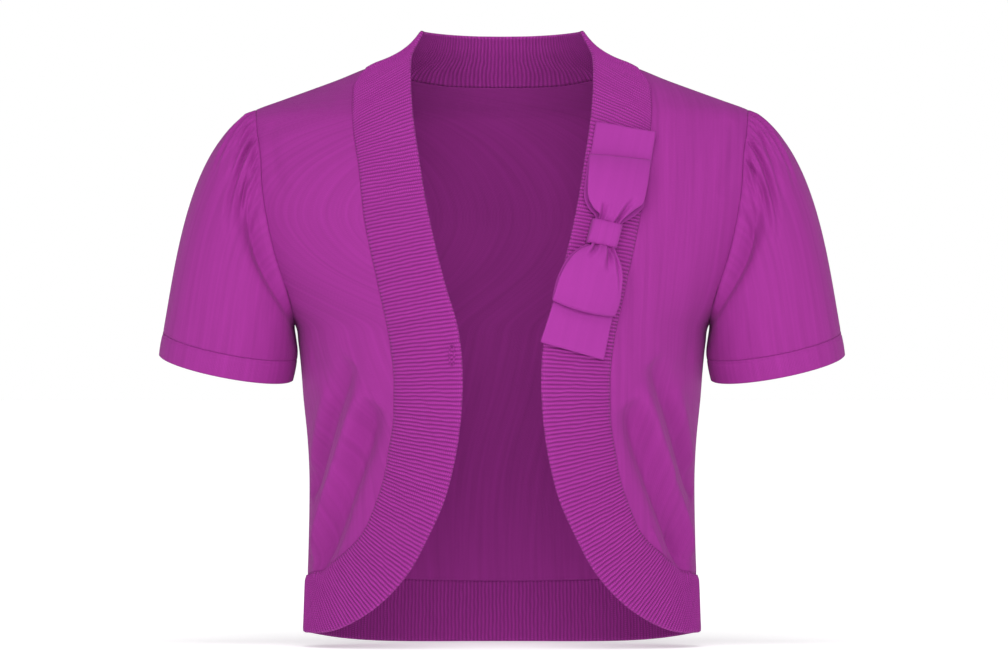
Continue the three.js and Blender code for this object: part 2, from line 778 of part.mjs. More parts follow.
// Closed curve of the looped strip seen from its side, and the way out of it at each point.
const loopOutline = [
  ...BOW_LOOP,
  ...[...BOW_LOOP].reverse().slice(0, -1).map((row) => ({ ...row, along: -row.along })),
].map((row) => new THREE.Vector3(row.along, row.height, 0));
const loopCurve = new THREE.CatmullRomCurve3(loopOutline, true, "centripetal");
const LOOP_STEPS = 30;
const PLEAT_DEPTH = 0.7;
const PLEAT_PLACE = 19; // distance of the deepest pleats from the knot's middle
const PLEAT_REACH = 7;
const LOOP_TOP_HEIGHT = 5.5; // the loop's upper layer, which is pleated, lies above this

function bowLoopGrids() {
  const acrossLoop = bowAcross("loopStart", "loopEnd");
  const grid = (out) =>
    steps(LOOP_STEPS)
      .slice(0, -1)
      .map((share) => {
        const at = loopCurve.getPoint(share);
        const heading = loopCurve.getTangent(share);
        const along = at.x - out * heading.y;
        const height = at.y + out * heading.x;
        const fromPleats = (Math.abs(at.x) - PLEAT_PLACE) / PLEAT_REACH;
        const depth = at.y > LOOP_TOP_HEIGHT ? PLEAT_DEPTH * Math.exp(-(fromPleats ** 2)) : 0;
        return steps(BOW_COLUMNS).map((share, k) => {
          const pleat = k % 2 === 0 ? depth : -depth;
          return bowPoint(along, acrossLoop(at.x, share), height + pleat);
        });
      });
  const turned = (rows) => rows[0].map((unused, k) => rows.map((row) => row[k]));
  return [turned(grid(-BOW_CLOTH / 2)), turned(grid(BOW_CLOTH / 2))];
}

// The knot's strip arches over the loops, and its feet come down to the band.
const KNOT_CLOTH = 1.4;
const KNOT_INNER_HEIGHT = BOW_LOOP[0].height + BOW_CLOTH / 2 + LYING_GAP;
const KNOT_CORNER = 0.25; // power of the sine and cosine, which gives the arch its square corners
const KNOT_ROWS = 3;
const KNOT_ARCH_STEPS = 12;

function bowKnotGrids() {
  const grid = (out) =>
    steps(KNOT_ROWS).map((lengthShare) => {
      const along = KNOT_HALF_LENGTH * (2 * lengthShare - 1);
      return steps(KNOT_ARCH_STEPS).map((share) => {
        const turn = Math.PI * (1 - share);
        const sideways = Math.sign(Math.cos(turn)) * Math.abs(Math.cos(turn)) ** KNOT_CORNER;
        const rise = Math.sin(turn) ** KNOT_CORNER;
        const across = (KNOT_HALF_WIDTH - KNOT_CLOTH + out) * sideways;
        return bowPoint(along, across, TAIL_FLOOR + (KNOT_INNER_HEIGHT + out - TAIL_FLOOR) * rise);
      });
    });
  return [grid(KNOT_CLOTH), grid(0)];
}

sew("back", wall(...backGrids()), JERSEY_FINISH);
sew("collar", wall(...collarGrids()), RIB_FINISH);
sew("hem_band", wall(...hemGrids()), RIB_FINISH);

const front = frontGrids();
const band = bandGrids();
const sleeve = sleeveGrids();
const cuff = cuffGrids();
for (const [name, side] of [["left", 1], ["right", -1]]) {
  const pair = (grids, closed) => wall(...grids.map((grid) => mirrored(grid, side)), closed);
  sew(`front_${name}`, pair(front), JERSEY_FINISH);
  sew(`band_${name}`, pair(band), RIB_FINISH);
  sew(`sleeve_${name}`, pair(sleeve, true), JERSEY_FINISH);
  sew(`cuff_${name}`, pair(cuff, true), JERSEY_FINISH);
}

sew("bow_tail", wall(...bowTailGrids()), BOW_FINISH);
sew("bow_loop", wall(...bowLoopGrids(), true), BOW_FINISH);
sew("bow_knot", wall(...bowKnotGrids()), BOW_FINISH);

export default garment;
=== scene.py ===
import math
import bpy
import numpy as np
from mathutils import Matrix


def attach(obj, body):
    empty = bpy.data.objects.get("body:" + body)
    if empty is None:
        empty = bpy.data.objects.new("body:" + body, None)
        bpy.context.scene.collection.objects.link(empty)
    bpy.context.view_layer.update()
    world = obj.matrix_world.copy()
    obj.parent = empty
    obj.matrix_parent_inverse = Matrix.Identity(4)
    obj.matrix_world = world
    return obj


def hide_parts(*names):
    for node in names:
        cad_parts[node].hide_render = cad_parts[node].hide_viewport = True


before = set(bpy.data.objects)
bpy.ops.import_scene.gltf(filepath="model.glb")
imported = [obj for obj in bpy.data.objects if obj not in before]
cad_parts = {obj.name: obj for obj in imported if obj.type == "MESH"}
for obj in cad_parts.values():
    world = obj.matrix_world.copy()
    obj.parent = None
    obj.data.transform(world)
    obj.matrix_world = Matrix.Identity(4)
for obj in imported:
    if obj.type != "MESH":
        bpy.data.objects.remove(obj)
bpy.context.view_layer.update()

# Back
# One piece of fine jersey from the neck to the hem, linked to the fronts at the shoulders and
# sides. Its inside shows through the open front. All tables are in millimetres on the wearer's
# form, whose angle is 0 at the centre front, 90 on the left side and 180 at the centre back.
MM = 0.001
CLOTH = 1.3
SEAM_GAP = 0.1
SHOULDER_TIP_Z = -30
UNDERARM_Z = -185
SIDE_HEM_SEAM_Z = -365
BACK_HEM_SEAM_Z = -371.5
SIDE_HEM_Z = -405.4
BACK_HEM_Z = -414.5
WALE = 0.00105
COURSE = 0.0011


def table(names, rows):
    """Gives each column of a table by its name."""
    return dict(zip(names.split(), np.array(rows, float).T))


def smooth(rows, key, column):
    """Cubic curve through a table's rows. Its slope at a row is the mean of the slopes beside it,
    weighted by the other's length, and level at a turning point. It is never over three times
    the smaller one, so that the curve doesn't swing past the rows."""
    order = np.argsort(rows[key])
    x = rows[key][order]
    y = rows[column][order]
    gap = np.diff(x)
    rise = np.diff(y) / gap
    before, after = rise[:-1], rise[1:]
    weight = gap[1:] / (gap[:-1] + gap[1:])
    mean = before * weight + after * (1 - weight)
    steepest = 3 * np.minimum(np.abs(before), np.abs(after))
    limited = np.sign(mean) * np.minimum(np.abs(mean), steepest)
    slope = np.concatenate([rise[:1], np.where(before * after > 0, limited, 0), rise[-1:]])

    def value(at):
        at = np.clip(at, x[0], x[-1])
        i = np.clip(np.searchsorted(x, at, side="right") - 1, 0, len(x) - 2)
        step = x[i + 1] - x[i]
        t = (at - x[i]) / step
        bend = (y[i + 1] - y[i]) * t * t * (3 - 2 * t)
        return y[i] + bend + step * t * (1 - t) * ((1 - t) * slope[i] - t * slope[i + 1])

    return value


BODY = table("z half_width front back pinch", [
    [-425, 142.2, 102, 98, 0.95],
    [-383, 140.8, 104, 96.5, 0.95],
    [-347, 139.4, 106, 95.5, 0.95],
    [-300, 138.6, 111, 95.5, 0.95],
    [-268, 139.9, 115.5, 96.5, 0.95],
    [-239, 142.8, 119, 98, 0.95],
    [-212, 145, 121, 99.5, 0.95],
    [-198, 146.6, 121, 101, 0.97],
    [-185, 149, 120.5, 102, 1],
    [-170, 163, 119, 103.5, 1.15],
    [-150, 182, 116, 105, 1.35],
    [-120, 197, 109, 105, 1.4],
    [-90, 202, 97, 101, 1.4],
    [-60, 198, 82, 93, 1.4],
    [-45, 192, 73, 87, 1.38],
    [-30, 177, 62, 80, 1.35],
    [-23, 158, 57.5, 76, 1.35],
    [-15.8, 138, 53, 72, 1.35],
    [-8.6, 118.4, 49, 68, 1.35],
    [0, 97.4, 43.5, 63, 1.35],
    [5.8, 81.6, 39, 60, 1.35],
    [13, 69, 34, 56, 1.35],
    [20.2, 61.4, 29, 53, 1.35],
    [26, 57, 25, 50, 1.35],
    [36, 49, 18, 43, 1.35],
])
half_width = smooth(BODY, "z", "half_width")
front_depth = smooth(BODY, "z", "front")
back_depth = smooth(BODY, "z", "back")
pinch = smooth(BODY, "z", "pinch")


def form(angle, z):
    """Point of the wearer's form: x is the half width times the sine of the angle, and y the
    depth times the cosine to the power of the pinch."""
    z = np.asarray(z, float)
    forward = np.cos(np.radians(angle))
    depth = np.where(forward > 0, front_depth(z), back_depth(z))
    y = -np.sign(forward) * depth * np.abs(forward) ** pinch(z)
    return np.stack(np.broadcast_arrays(half_width(z) * np.sin(np.radians(angle)), y, z), -1)


def unit(vectors):
    """Each vector divided by its length."""
    return vectors / np.maximum(np.linalg.norm(vectors, axis=-1, keepdims=True), 1e-9)


def outwards(angle, z):
    """Direction out of the form: the cross product of its steps down and across. Close to the
    shoulder and side seams, where front and back meet, it is the seam's own."""
    on_seam = np.abs(np.cos(np.radians(angle))) < 0.03
    middle = np.where(on_seam, np.where(np.sin(np.radians(angle)) > 0, 90, 270), angle)
    across = form(middle + 1, z) - form(middle - 1, z)
    down = form(middle, z - 1) - form(middle, z + 1)
    return unit(np.cross(down, across))


# Ridges, and troughs where the height is below nothing, by way of a middle angle that lies
# halfway down. side is 1 on the wearer's left, -1 on the right and 0 on both.
FOLDS = table("side start_angle start_z middle_angle end_angle end_z width height", [
    [0, 43.5, -228, 59.3, 79, -352, 6.5, 6],
    [0, 39.5, -240, 53.3, 73, -364, 10, -11],
    [0, 48, -210, 63, 81, -308, 9, -8],
    [0, 60, -232, 70, 80, -290, 7, 2.8],
    [-1, 53, -318, 57, 62, -352, 5, -1.6],
    [-1, 69, -300, 74, 81, -356, 5, -1.2],
    [1, 61, -290, 66, 71, -344, 5, -1.6],
    [1, 50, -330, 53, 56, -352, 3, 1.6],
    [1, 58, -338, 59.5, 61, -352, 2.5, -1.4],
    [1, 64, -336, 67, 70, -353, 4, -1.6],
    [0, 61, -38, 55.5, 51, -92, 5, -0.9],
    [0, 70, -206, 63, 55, -228, 9, -1],
    [0, 128, -262, 120, 112, -340, 9, -2.5],
    [0, 140, -270, 134, 128, -346, 9, 2],
    [0, 121, -190, 128, 135, -232, 9, -1.6],
    [0, 150, -285, 146, 143, -352, 8, -1.4],
    [0, 160, -300, 159, 158, -356, 9, 1.1],
])
MM_PER_DEGREE = 2.2


def fold_height(angle, z):
    """Sum of the folds: each is a bell curve of the distance to a bent line from its start to
    its end, on the form laid out at so many millimetres to a degree. Its height falls away near
    both ends with the sixth power of the distance from its middle."""
    side = np.where(angle > 180, -1, 1)
    from_front = np.where(angle > 180, 360 - angle, angle)
    height = np.zeros(np.broadcast(angle, z).shape)
    for fold in zip(*FOLDS.values()):
        which, angle_0, z_0, angle_middle, angle_1, z_1, width, rise = fold
        along = (angle_1 - angle_0) * MM_PER_DEGREE, z_1 - z_0
        away = (from_front - angle_0) * MM_PER_DEGREE, z - z_0
        share = (away[0] * along[0] + away[1] * along[1]) / (along[0] ** 2 + along[1] ** 2)
        on_fold = np.clip(share, 0, 1)
        fade = 1 - (2 * on_fold - 1) ** 6
        bend = (angle_middle - (angle_0 + angle_1) / 2) * MM_PER_DEGREE
        bent = on_fold * along[0] + 4 * bend * on_fold * (1 - on_fold)
        distance = np.hypot(away[0] - bent, away[1] - on_fold * along[1])
        here = (which == 0) | (which == side)
        height = height + here * rise * fade * np.exp(-((distance / width) ** 2))
    return height


def skin(angle, z, height=0):
    """Point of the garment, a height out from the face of its jersey, folds included."""
    angle, z = np.broadcast_arrays(np.asarray(angle, float), np.asarray(z, float))
    raised = (height + fold_height(angle, z))[..., None]
    return form(angle, z) + outwards(angle, z) * raised


def angle_at(x, z):
    """Angle whose point on the form shows at x from the front."""
    return np.degrees(np.arcsin(np.minimum(1, x / half_width(z))))


def before_seam(angle, z):
    """Angle held half a seam's gap in front of the shoulder and side seams."""
    short = np.degrees(np.arccos((SEAM_GAP / 2 / front_depth(z)) ** (1 / pinch(z))))
    return np.minimum(angle, short)


def behind_seam(angle, z):
    """Angle held half a seam's gap behind both shoulder and side seams."""
    past = np.degrees(np.arccos((SEAM_GAP / 2 / back_depth(z)) ** (1 / pinch(z))))
    return np.clip(angle, 180 - past, 180 + past)


def steps(count):
    """Shares from 0 to 1, both included."""
    return np.linspace(0, 1, count + 1)


def patch(top, bottom, left, right):
    """Coons patch: the mean of the two ruled sheets between facing edges, less the sheet that
    the corners give. Each edge is a pair of arrays, of angles and of heights."""
    rows = []
    v = steps(len(left[0]) - 1)[:, None]
    u = steps(len(top[0]) - 1)[None, :]
    for t, b, l, r in zip(top, bottom, left, right):
        ruled = (1 - v) * t[None, :] + v * b[None, :] + (1 - u) * l[:, None] + u * r[:, None]
        corners = (1 - u) * ((1 - v) * t[0] + v * b[0]) + u * ((1 - v) * t[-1] + v * b[-1])
        rows.append(ruled - corners)
    return rows


def even_path(angle, z, count):
    """Places evenly apart along a path on the form, both ends included."""
    along = np.append(0, np.cumsum(np.linalg.norm(np.diff(form(angle, z), axis=0), axis=-1)))
    even = steps(count) * along[-1]
    return np.interp(even, along, angle), np.interp(even, along, z)


def strip_ids(first, second):
    """Quads between two equal closed rows of vertex numbers."""
    first = np.append(first, first[0])
    second = np.append(second, second[0])
    return np.stack([first[:-1], second[:-1], second[1:], first[1:]], -1)


def grid_ids(ids, ringed):
    """Quads over a grid of vertex numbers, whose rows may close on themselves."""
    if ringed:
        ids = np.concatenate([ids, ids[:, :1]], 1)
    quads = [ids[:-1, :-1], ids[1:, :-1], ids[1:, 1:], ids[:-1, 1:]]
    return np.stack(quads, -1).reshape(-1, 4)


def put_mesh(name, points, quads, uv, material):
    """Makes the object: faces are turned so that their tetrahedra to the origin add up to a
    positive volume, and every corner takes its vertex's place on the knit."""
    a, b, c, d = (points[quads[:, i]] for i in range(4))
    volume = (a * np.cross(b, c)).sum() + (a * np.cross(c, d)).sum()
    if volume < 0:
        quads = quads[:, ::-1]
    mesh = bpy.data.meshes.new(name)
    mesh.vertices.add(len(points))
    mesh.vertices.foreach_set("co", (points * MM).ravel())
    mesh.loops.add(quads.size)
    mesh.loops.foreach_set("vertex_index", quads.ravel())
    mesh.polygons.add(len(quads))
    mesh.polygons.foreach_set("loop_start", np.arange(0, quads.size, 4))
    mesh.polygons.foreach_set("use_smooth", np.ones(len(quads), bool))
    layer = mesh.uv_layers.new(name="knit")
    layer.data.foreach_set("uv", (uv[quads.ravel()] * MM).ravel())
    mesh.update(calc_edges=True)
    piece = bpy.data.objects.new(name, mesh)
    bpy.context.scene.collection.objects.link(piece)
    mesh.materials.append(material)
    return piece


SEAM_ROUND = 0.04
FREE_ROUND = 0.35


def cloth(name, outer, inner, uv, material, free="", ringed=False):
    """Closed thin wall: a grid outside, a grid inside, and a rim whose middle stands out from
    the edge by a share of the wall's thickness. The share is large on a free edge, which is
    round, and small on one that meets another piece. free names the free edges of the grid."""
    rows, columns = outer.shape[:2]
    ids = np.arange(rows * columns).reshape(rows, columns)
    top, bottom, left, right = (
        FREE_ROUND if edge in free else SEAM_ROUND for edge in ("top", "bottom", "left", "right"))
    if ringed:
        edges = [(ids[0], ids[1], np.full(columns, top)),
                 (ids[-1, ::-1], ids[-2, ::-1], np.full(columns, bottom))]
    else:
        loop = [ids[0, :-1], ids[:-1, -1], ids[-1, :0:-1], ids[:0:-1, 0]]
        within = [ids[1, :-1], ids[:-1, -2], ids[-2, :0:-1], ids[:0:-1, 1]]
        lengths = [columns - 1, rows - 1, columns - 1, rows - 1]
        rounds = np.repeat([top, right, bottom, left], lengths)
        edges = [(np.concatenate(loop), np.concatenate(within), rounds)]
    face, lining, place = outer.reshape(-1, 3), inner.reshape(-1, 3), uv.reshape(-1, 2)
    points, places = [face, lining], [place, place]
    count = len(face)
    quads = [grid_ids(ids, ringed), grid_ids(ids + count, ringed)[:, ::-1]]
    start = 2 * count
    for edge, within, rounds in edges:
        middle = (face[edge] + lining[edge]) / 2
        thick = np.linalg.norm(face[edge] - lining[edge], axis=-1)
        outward = unit(face[edge] - face[within])
        points.append(middle + outward * (thick * rounds)[:, None])
        places.append(place[edge])
        rim = start + np.arange(len(edge))
        start += len(edge)
        quads.append(strip_ids(edge, rim)[:, ::-1])
        quads.append(strip_ids(rim, edge + count)[:, ::-1])
    return put_mesh(name, np.concatenate(points), np.concatenate(quads),
                    np.concatenate(places), material)


SEAM_DIP = 0.25
DIP_IN_GRID_POINTS = 0.9


def sunk_edges(shape, ringed=False):
    """Height of a jersey panel beside its seams, where the cloth dips towards the stitches: most
    on the outermost points of its grid, and less on the next ones."""
    rows, columns = shape
    from_edge = np.minimum(np.arange(rows), np.arange(rows)[::-1])[:, None]
    if not ringed:
        across = np.minimum(np.arange(columns), np.arange(columns)[::-1])
        from_edge = np.minimum(from_edge, across[None, :])
    return np.broadcast_to(-SEAM_DIP * np.exp(-(from_edge / DIP_IN_GRID_POINTS) ** 2), shape)


# Girth of the form from the centre front, worked out once at many heights, so that the wales of
# the knit lie evenly apart and run down the garment.
GIRTH_Z = np.linspace(-425, 36, 93)
GIRTH_ANGLES = np.linspace(0, 360, 361)
girth_points = form(GIRTH_ANGLES[None, :], GIRTH_Z[:, None])
girth_steps = np.linalg.norm(np.diff(girth_points, axis=1), axis=-1)
GIRTH = np.concatenate([np.zeros((len(GIRTH_Z), 1)), np.cumsum(girth_steps, 1)], 1)


def body_knit(angle, z):
    """Place on the knit of the body: round the form from the centre front, between the two
    nearest heights and angles of the table of girths, and height."""
    row = np.clip((z - GIRTH_Z[0]) / (GIRTH_Z[1] - GIRTH_Z[0]), 0, len(GIRTH_Z) - 1.001)
    column = np.clip(angle, 0, 359.999)
    i, j = row.astype(int), column.astype(int)
    s, t = row - i, column - j
    near = GIRTH[i, j] * (1 - t) + GIRTH[i, j + 1] * t
    far = GIRTH[i + 1, j] * (1 - t) + GIRTH[i + 1, j + 1] * t
    return np.stack([near * (1 - s) + far * s, z], -1)


def link(tree, output, target):
    """Joins an output to an input."""
    tree.links.new(output, target)


def math_node(tree, operation, first, second=None):
    """A Math node, whose inputs are numbers or the outputs of other nodes."""
    node = tree.nodes.new("ShaderNodeMath")
    node.operation = operation
    for socket, given in zip(node.inputs, (first, second)):
        if given is None:
            continue
        if isinstance(given, (int, float)):
            socket.default_value = given
        else:
            link(tree, given, socket)
    return node.outputs[0]


LOOP_LAG = 1.1
LOOP_SHARE = 0.32
COLUMN_ROUNDNESS = 0.6
LOOPS_OUT_OF_STEP = 6
STREAKS_PER_METRE = (260, 9, 1)


def knit_material(name, colour, wale, course, relief, streak, groove_painted_shade):
    """Knitted yarn. Across a wale the cloth rises as a rounded column, and down it the loops
    make a V: a wave of the height that lags towards the sides of the wale. The grooves between
    the wales are darkened in the base colour, which is painted shade, and broad uneven streaks
    follow the wales. The same streaks put the loops of neighbouring wales out of step."""
    material = bpy.data.materials.new(name)
    material.use_nodes = True
    tree = material.node_tree
    shader = tree.nodes["Principled BSDF"]
    shader.inputs["Roughness"].default_value = 0.78
    shader.inputs["Specular IOR Level"].default_value = 0.15
    shader.inputs["Sheen Weight"].default_value = 0.06
    shader.inputs["Sheen Roughness"].default_value = 0.45
    shader.inputs["Sheen Tint"].default_value = (1.0, 0.62, 0.95, 1)
    place = tree.nodes.new("ShaderNodeUVMap")
    place.uv_map = "knit"
    split = tree.nodes.new("ShaderNodeSeparateXYZ")
    link(tree, place.outputs[0], split.inputs[0])
    across = math_node(tree, "MULTIPLY", split.outputs[0], 1 / wale)
    down = math_node(tree, "MULTIPLY", split.outputs[1], 1 / course)
    streaks = tree.nodes.new("ShaderNodeMapping")
    streaks.inputs["Scale"].default_value = STREAKS_PER_METRE
    link(tree, place.outputs[0], streaks.inputs[0])
    noise = tree.nodes.new("ShaderNodeTexNoise")
    noise.inputs["Scale"].default_value = 1
    noise.inputs["Detail"].default_value = 3
    link(tree, streaks.outputs[0], noise.inputs["Vector"])
    wander = math_node(tree, "MULTIPLY", noise.outputs[0], LOOPS_OUT_OF_STEP)
    side = math_node(tree, "PINGPONG", across, 0.5)
    lag = math_node(tree, "MULTIPLY", side, LOOP_LAG)
    level = math_node(tree, "ADD", math_node(tree, "ADD", down, lag), wander)
    turn = math_node(tree, "MULTIPLY", level, 2 * math.pi)
    loops = math_node(tree, "MULTIPLY", math_node(tree, "SINE", turn), LOOP_SHARE)
    column = math_node(tree, "POWER", math_node(tree, "MULTIPLY", side, 2), COLUMN_ROUNDNESS)
    yarn = math_node(tree, "MULTIPLY", math_node(tree, "ADD", loops, 1 - LOOP_SHARE), column)
    bump = tree.nodes.new("ShaderNodeBump")
    bump.inputs["Strength"].default_value = 0.8
    bump.inputs["Distance"].default_value = relief
    link(tree, yarn, bump.inputs["Height"])
    link(tree, bump.outputs[0], shader.inputs["Normal"])
    shade = math_node(tree, "MULTIPLY", math_node(tree, "SUBTRACT", noise.outputs[0], 0.5), streak)
    # Painted shade: the base colour is darkened in the grooves between the wales, where shade would
    # fall. The factor below holds this painted shade together with the yarn's streaks.
    groove = math_node(tree, "MULTIPLY", math_node(tree, "SUBTRACT", yarn, 0.5), groove_painted_shade)
    light = math_node(tree, "ADD", math_node(tree, "ADD", shade, groove), 1)
    tint = tree.nodes.new("ShaderNodeHueSaturation")
    tint.inputs["Color"].default_value = (*colour, 1)
    link(tree, light, tint.inputs["Value"])
    link(tree, tint.outputs[0], shader.inputs["Base Color"])
    return material


# The jersey's grooves carry a slight painted shade.
JERSEY = knit_material("jersey", (0.27, 0.022, 0.225), WALE, COURSE,
                       relief=0.00015, streak=0.38, groove_painted_shade=0.12)

ARMHOLE = table("z x", [
    [UNDERARM_Z, 149],
    [-178, 149.6],
    [-165.6, 152.6],
    [-154, 156.2],
    [-136, 162],
    [-111.6, 167.8],
    [-87.8, 171.8],
    [-60, 173.8],
    [-46.8, 175.8],
    [SHOULDER_TIP_Z, 177],
])
armhole_x = smooth(ARMHOLE, "z", "x")


def armhole_place(turn):
    """Angle and height on the armhole's seam. turn is 0 at the shoulder, 90 in front, 180 under
    the arm and 270 behind, and the height is a cosine of it."""
    turn = np.asarray(turn, float) % 360
    reach = (SHOULDER_TIP_Z - UNDERARM_Z) / 2
    z = (SHOULDER_TIP_Z + UNDERARM_Z) / 2 + reach * np.cos(np.radians(turn))
    angle = angle_at(armhole_x(z), z)
    return np.where(turn > 180, 180 - angle, angle), z


ARMHOLE_ROWS = 84
SIDE_ROWS = 76
SHOULDER_ROWS = 30


def armhole_and_side(behind, bottom_z):
    """Down the armhole's seam from the shoulder, and on down the side seam."""
    turn = (360 - 180 * steps(900)) if behind else 180 * steps(900)
    angle, z = armhole_place(turn)
    angle[[0, -1]] = 90
    angle, z = even_path(angle, z, ARMHOLE_ROWS)
    side = UNDERARM_Z + (bottom_z - UNDERARM_Z) * steps(SIDE_ROWS)[1:]
    return np.append(angle, np.full(len(side), 90.0)), np.append(z, side)


COLLAR = table("from_back free_z seam_z", [
    [0, 23.1, -12.4],
    [20, 23.3, -11],
    [32, 23.7, -7.9],
    [60, 24.9, -2.2],
    [90, 25.9, 0],
])
collar_free = smooth(COLLAR, "from_back", "free_z")
collar_seam = smooth(COLLAR, "from_back", "seam_z")


def hem_seam_z(angle):
    """Height of the seam between the back and its hem band."""
    sidewards = np.abs(np.sin(np.radians(angle)))
    return BACK_HEM_SEAM_Z + (SIDE_HEM_SEAM_Z - BACK_HEM_SEAM_Z) * sidewards ** 2


BACK_COLUMNS = 124
MIDDLE_ROW_Z = -32


def back_places():
    """Angles and heights of the back's grid. Down the middle its rows are even above and below
    the one that ends at the tips of the shoulders, and at the sides they follow the shoulder,
    armhole and side. In between, a row goes over from one to the other with the square of its
    distance from the middle."""
    from_back = np.abs(2 * steps(BACK_COLUMNS) - 1)
    angles = 90 + 180 * steps(BACK_COLUMNS)
    top = collar_seam(np.abs(angles - 180)) - SEAM_GAP
    bottom = hem_seam_z(angles) + SEAM_GAP
    shoulder = top[0] + (SHOULDER_TIP_Z - top[0]) * steps(300)
    shoulder_z = even_path(np.full(301, 90.0), shoulder, SHOULDER_ROWS)[1][:-1]
    edge_angle, edge_z = armhole_and_side(True, bottom[0])
    edge_angle = np.append(np.full(SHOULDER_ROWS, 90.0), edge_angle)[:, None]
    edge_z = np.append(shoulder_z, edge_z)[:, None]
    down = steps(len(edge_z) - 1)[:, None]
    middle = BACK_COLUMNS // 2
    known_rows = [0, SHOULDER_ROWS, len(edge_z) - 1]
    known_z = [top[middle], MIDDLE_ROW_Z, bottom[middle]]
    middle_z = np.interp(np.arange(len(edge_z)), known_rows, known_z)[:, None]
    z = middle_z + (edge_z - middle_z) * from_back ** 2
    z = z + (top - z[0]) * (1 - down) ** 3 + (bottom - z[-1]) * down ** 3
    drawn_in = 90 * from_back - (edge_angle - 90) * from_back ** 2
    return 180 + np.sign(angles - 180) * drawn_in, z


angle, z = back_places()
angle = behind_seam(angle, z)
sunk = sunk_edges(angle.shape)
back = cloth("back_cloth", skin(angle, z, sunk), skin(angle, z, sunk - CLOTH),
             body_knit(angle, z), JERSEY)
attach(back, "root")
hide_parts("back")

# Fronts
# Two pieces of the same jersey, from the shoulder seam down to the curve where the band begins.
# They are linked to the band, the back and the sleeves.
BAND = table("free_x free_z seam_x seam_z", [
    [57.2, 25.9, 97.6, 0],
    [65.5, 5.8, 106.6, -15.8],
    [65.9, -8.6, 106.9, -30.2],
    [64.8, -30, 105.9, -47],
    [59.8, -66.2, 101.9, -74],
    [54, -101, 98, -109],
    [42, -152.6, 86.8, -162],
    [31.2, -191, 79.6, -197],
    [28.5, -224.6, 76.7, -226],
    [30, -253.4, 76.9, -249],
    [34.3, -282.2, 80.2, -272.5],
    [42, -311, 84.2, -295],
    [52.5, -334.5, 90.5, -314],
    [66.2, -360, 99.5, -334],
    [83.5, -380.2, 112, -347.5],
    [105, -396, 126.5, -358],
    [124, -403.8, 136, -363],
    [142.8, SIDE_HEM_Z, 140.7, SIDE_HEM_SEAM_Z],
])
free_points = form(angle_at(BAND["free_x"], BAND["free_z"]), BAND["free_z"])
seam_points = form(angle_at(BAND["seam_x"], BAND["seam_z"]), BAND["seam_z"])
band_steps = (np.linalg.norm(np.diff(free_points, axis=0), axis=-1)
              + np.linalg.norm(np.diff(seam_points, axis=0), axis=-1)) / 2
BAND["along"] = np.append(0, np.cumsum(band_steps))
BAND_LENGTH = BAND["along"][-1]
band_curves = {key: smooth(BAND, "along", key) for key in ("free_x", "free_z", "seam_x", "seam_z")}


def band_place(length_share, width_share):
    """Angle and height in the front band: straight across on the laid-out form from its free
    edge to its seam. A share of the width past 1 lies on the front beside it."""
    along = np.asarray(length_share) * BAND_LENGTH
    free_z = band_curves["free_z"](along)
    seam_z = band_curves["seam_z"](along)
    free_angle = angle_at(band_curves["free_x"](along), free_z)
    seam_angle = angle_at(band_curves["seam_x"](along), seam_z)
    z = free_z + (seam_z - free_z) * width_share
    return before_seam(free_angle + (seam_angle - free_angle) * width_share, z), z


BAND_WIDTH = 47
FRONT_CORNER = 0.735
FRONT_COLUMNS = 90
beside = 1 + SEAM_GAP / 2 / BAND_WIDTH
left = band_place(steps(ARMHOLE_ROWS + SIDE_ROWS) * FRONT_CORNER, beside)
bottom = band_place(FRONT_CORNER + steps(FRONT_COLUMNS) * (1 - FRONT_CORNER), beside)
right = armhole_and_side(False, bottom[1][-1])
top_z = left[1][0] + (right[1][0] - left[1][0]) * steps(FRONT_COLUMNS)
top = np.full(FRONT_COLUMNS + 1, 90.0), top_z
angle, z = patch(top, bottom, left, right)
angle = before_seam(angle, z)
sunk = sunk_edges(angle.shape)
for name, side in (("left", 1), ("right", -1)):
    turned = angle if side == 1 else 360 - angle
    front = cloth(f"front_{name}_cloth", skin(turned, z, sunk), skin(turned, z, sunk - CLOTH),
                  body_knit(turned, z), JERSEY)
    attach(front, "root")
    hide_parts(f"front_{name}")

# Bands and collar
# One-by-one knitted rib, linked to the edge of the jersey: a band down each front and round its
# corner, the collar behind the neck, and the hem of the back. It is thicker than the jersey and
# ribbed on both faces, and its free edge ends in a narrow smooth roll.
BAND_RISE = 0.75
RIB_HEIGHT = 1.1
RIB_PITCH = 2.75
POINTS_PER_RIB = 6
BAND_ROWS = 20
ROLL_WIDTH = 1.3
SEAM_SLOPE = 2.6
ROLL_RISE = 0.5
RIB_COURSE = 0.0014
# The rib's grooves carry a strong painted shade in their colour.
RIB = knit_material("rib", (0.28, 0.023, 0.235), RIB_PITCH * MM, RIB_COURSE,
                    relief=0.0003, streak=0.2, groove_painted_shade=1.0)


def rib_wave(phase):
    """Height of the ribs, from 0 in the groove to 1 on the crest: a cosine whose crest is
    rounded by a power below one."""
    return (0.5 + 0.5 * np.cos(2 * np.pi * phase)) ** 0.65


def rib_wander(count, across):
    """How far a rib strays from its straight line, in ribs: three waves across the band that
    shift from rib to rib, as the rib's loops are never pulled quite evenly."""
    broad = 0.06 * np.sin(across * 7 - count * 0.37)
    narrow = 0.05 * np.sin(across * 17 + count * 0.9)
    fine = 0.05 * np.sin(across * 31 + count * 2.1)
    return (broad + narrow + fine) * np.sin(np.pi * across) ** 0.5


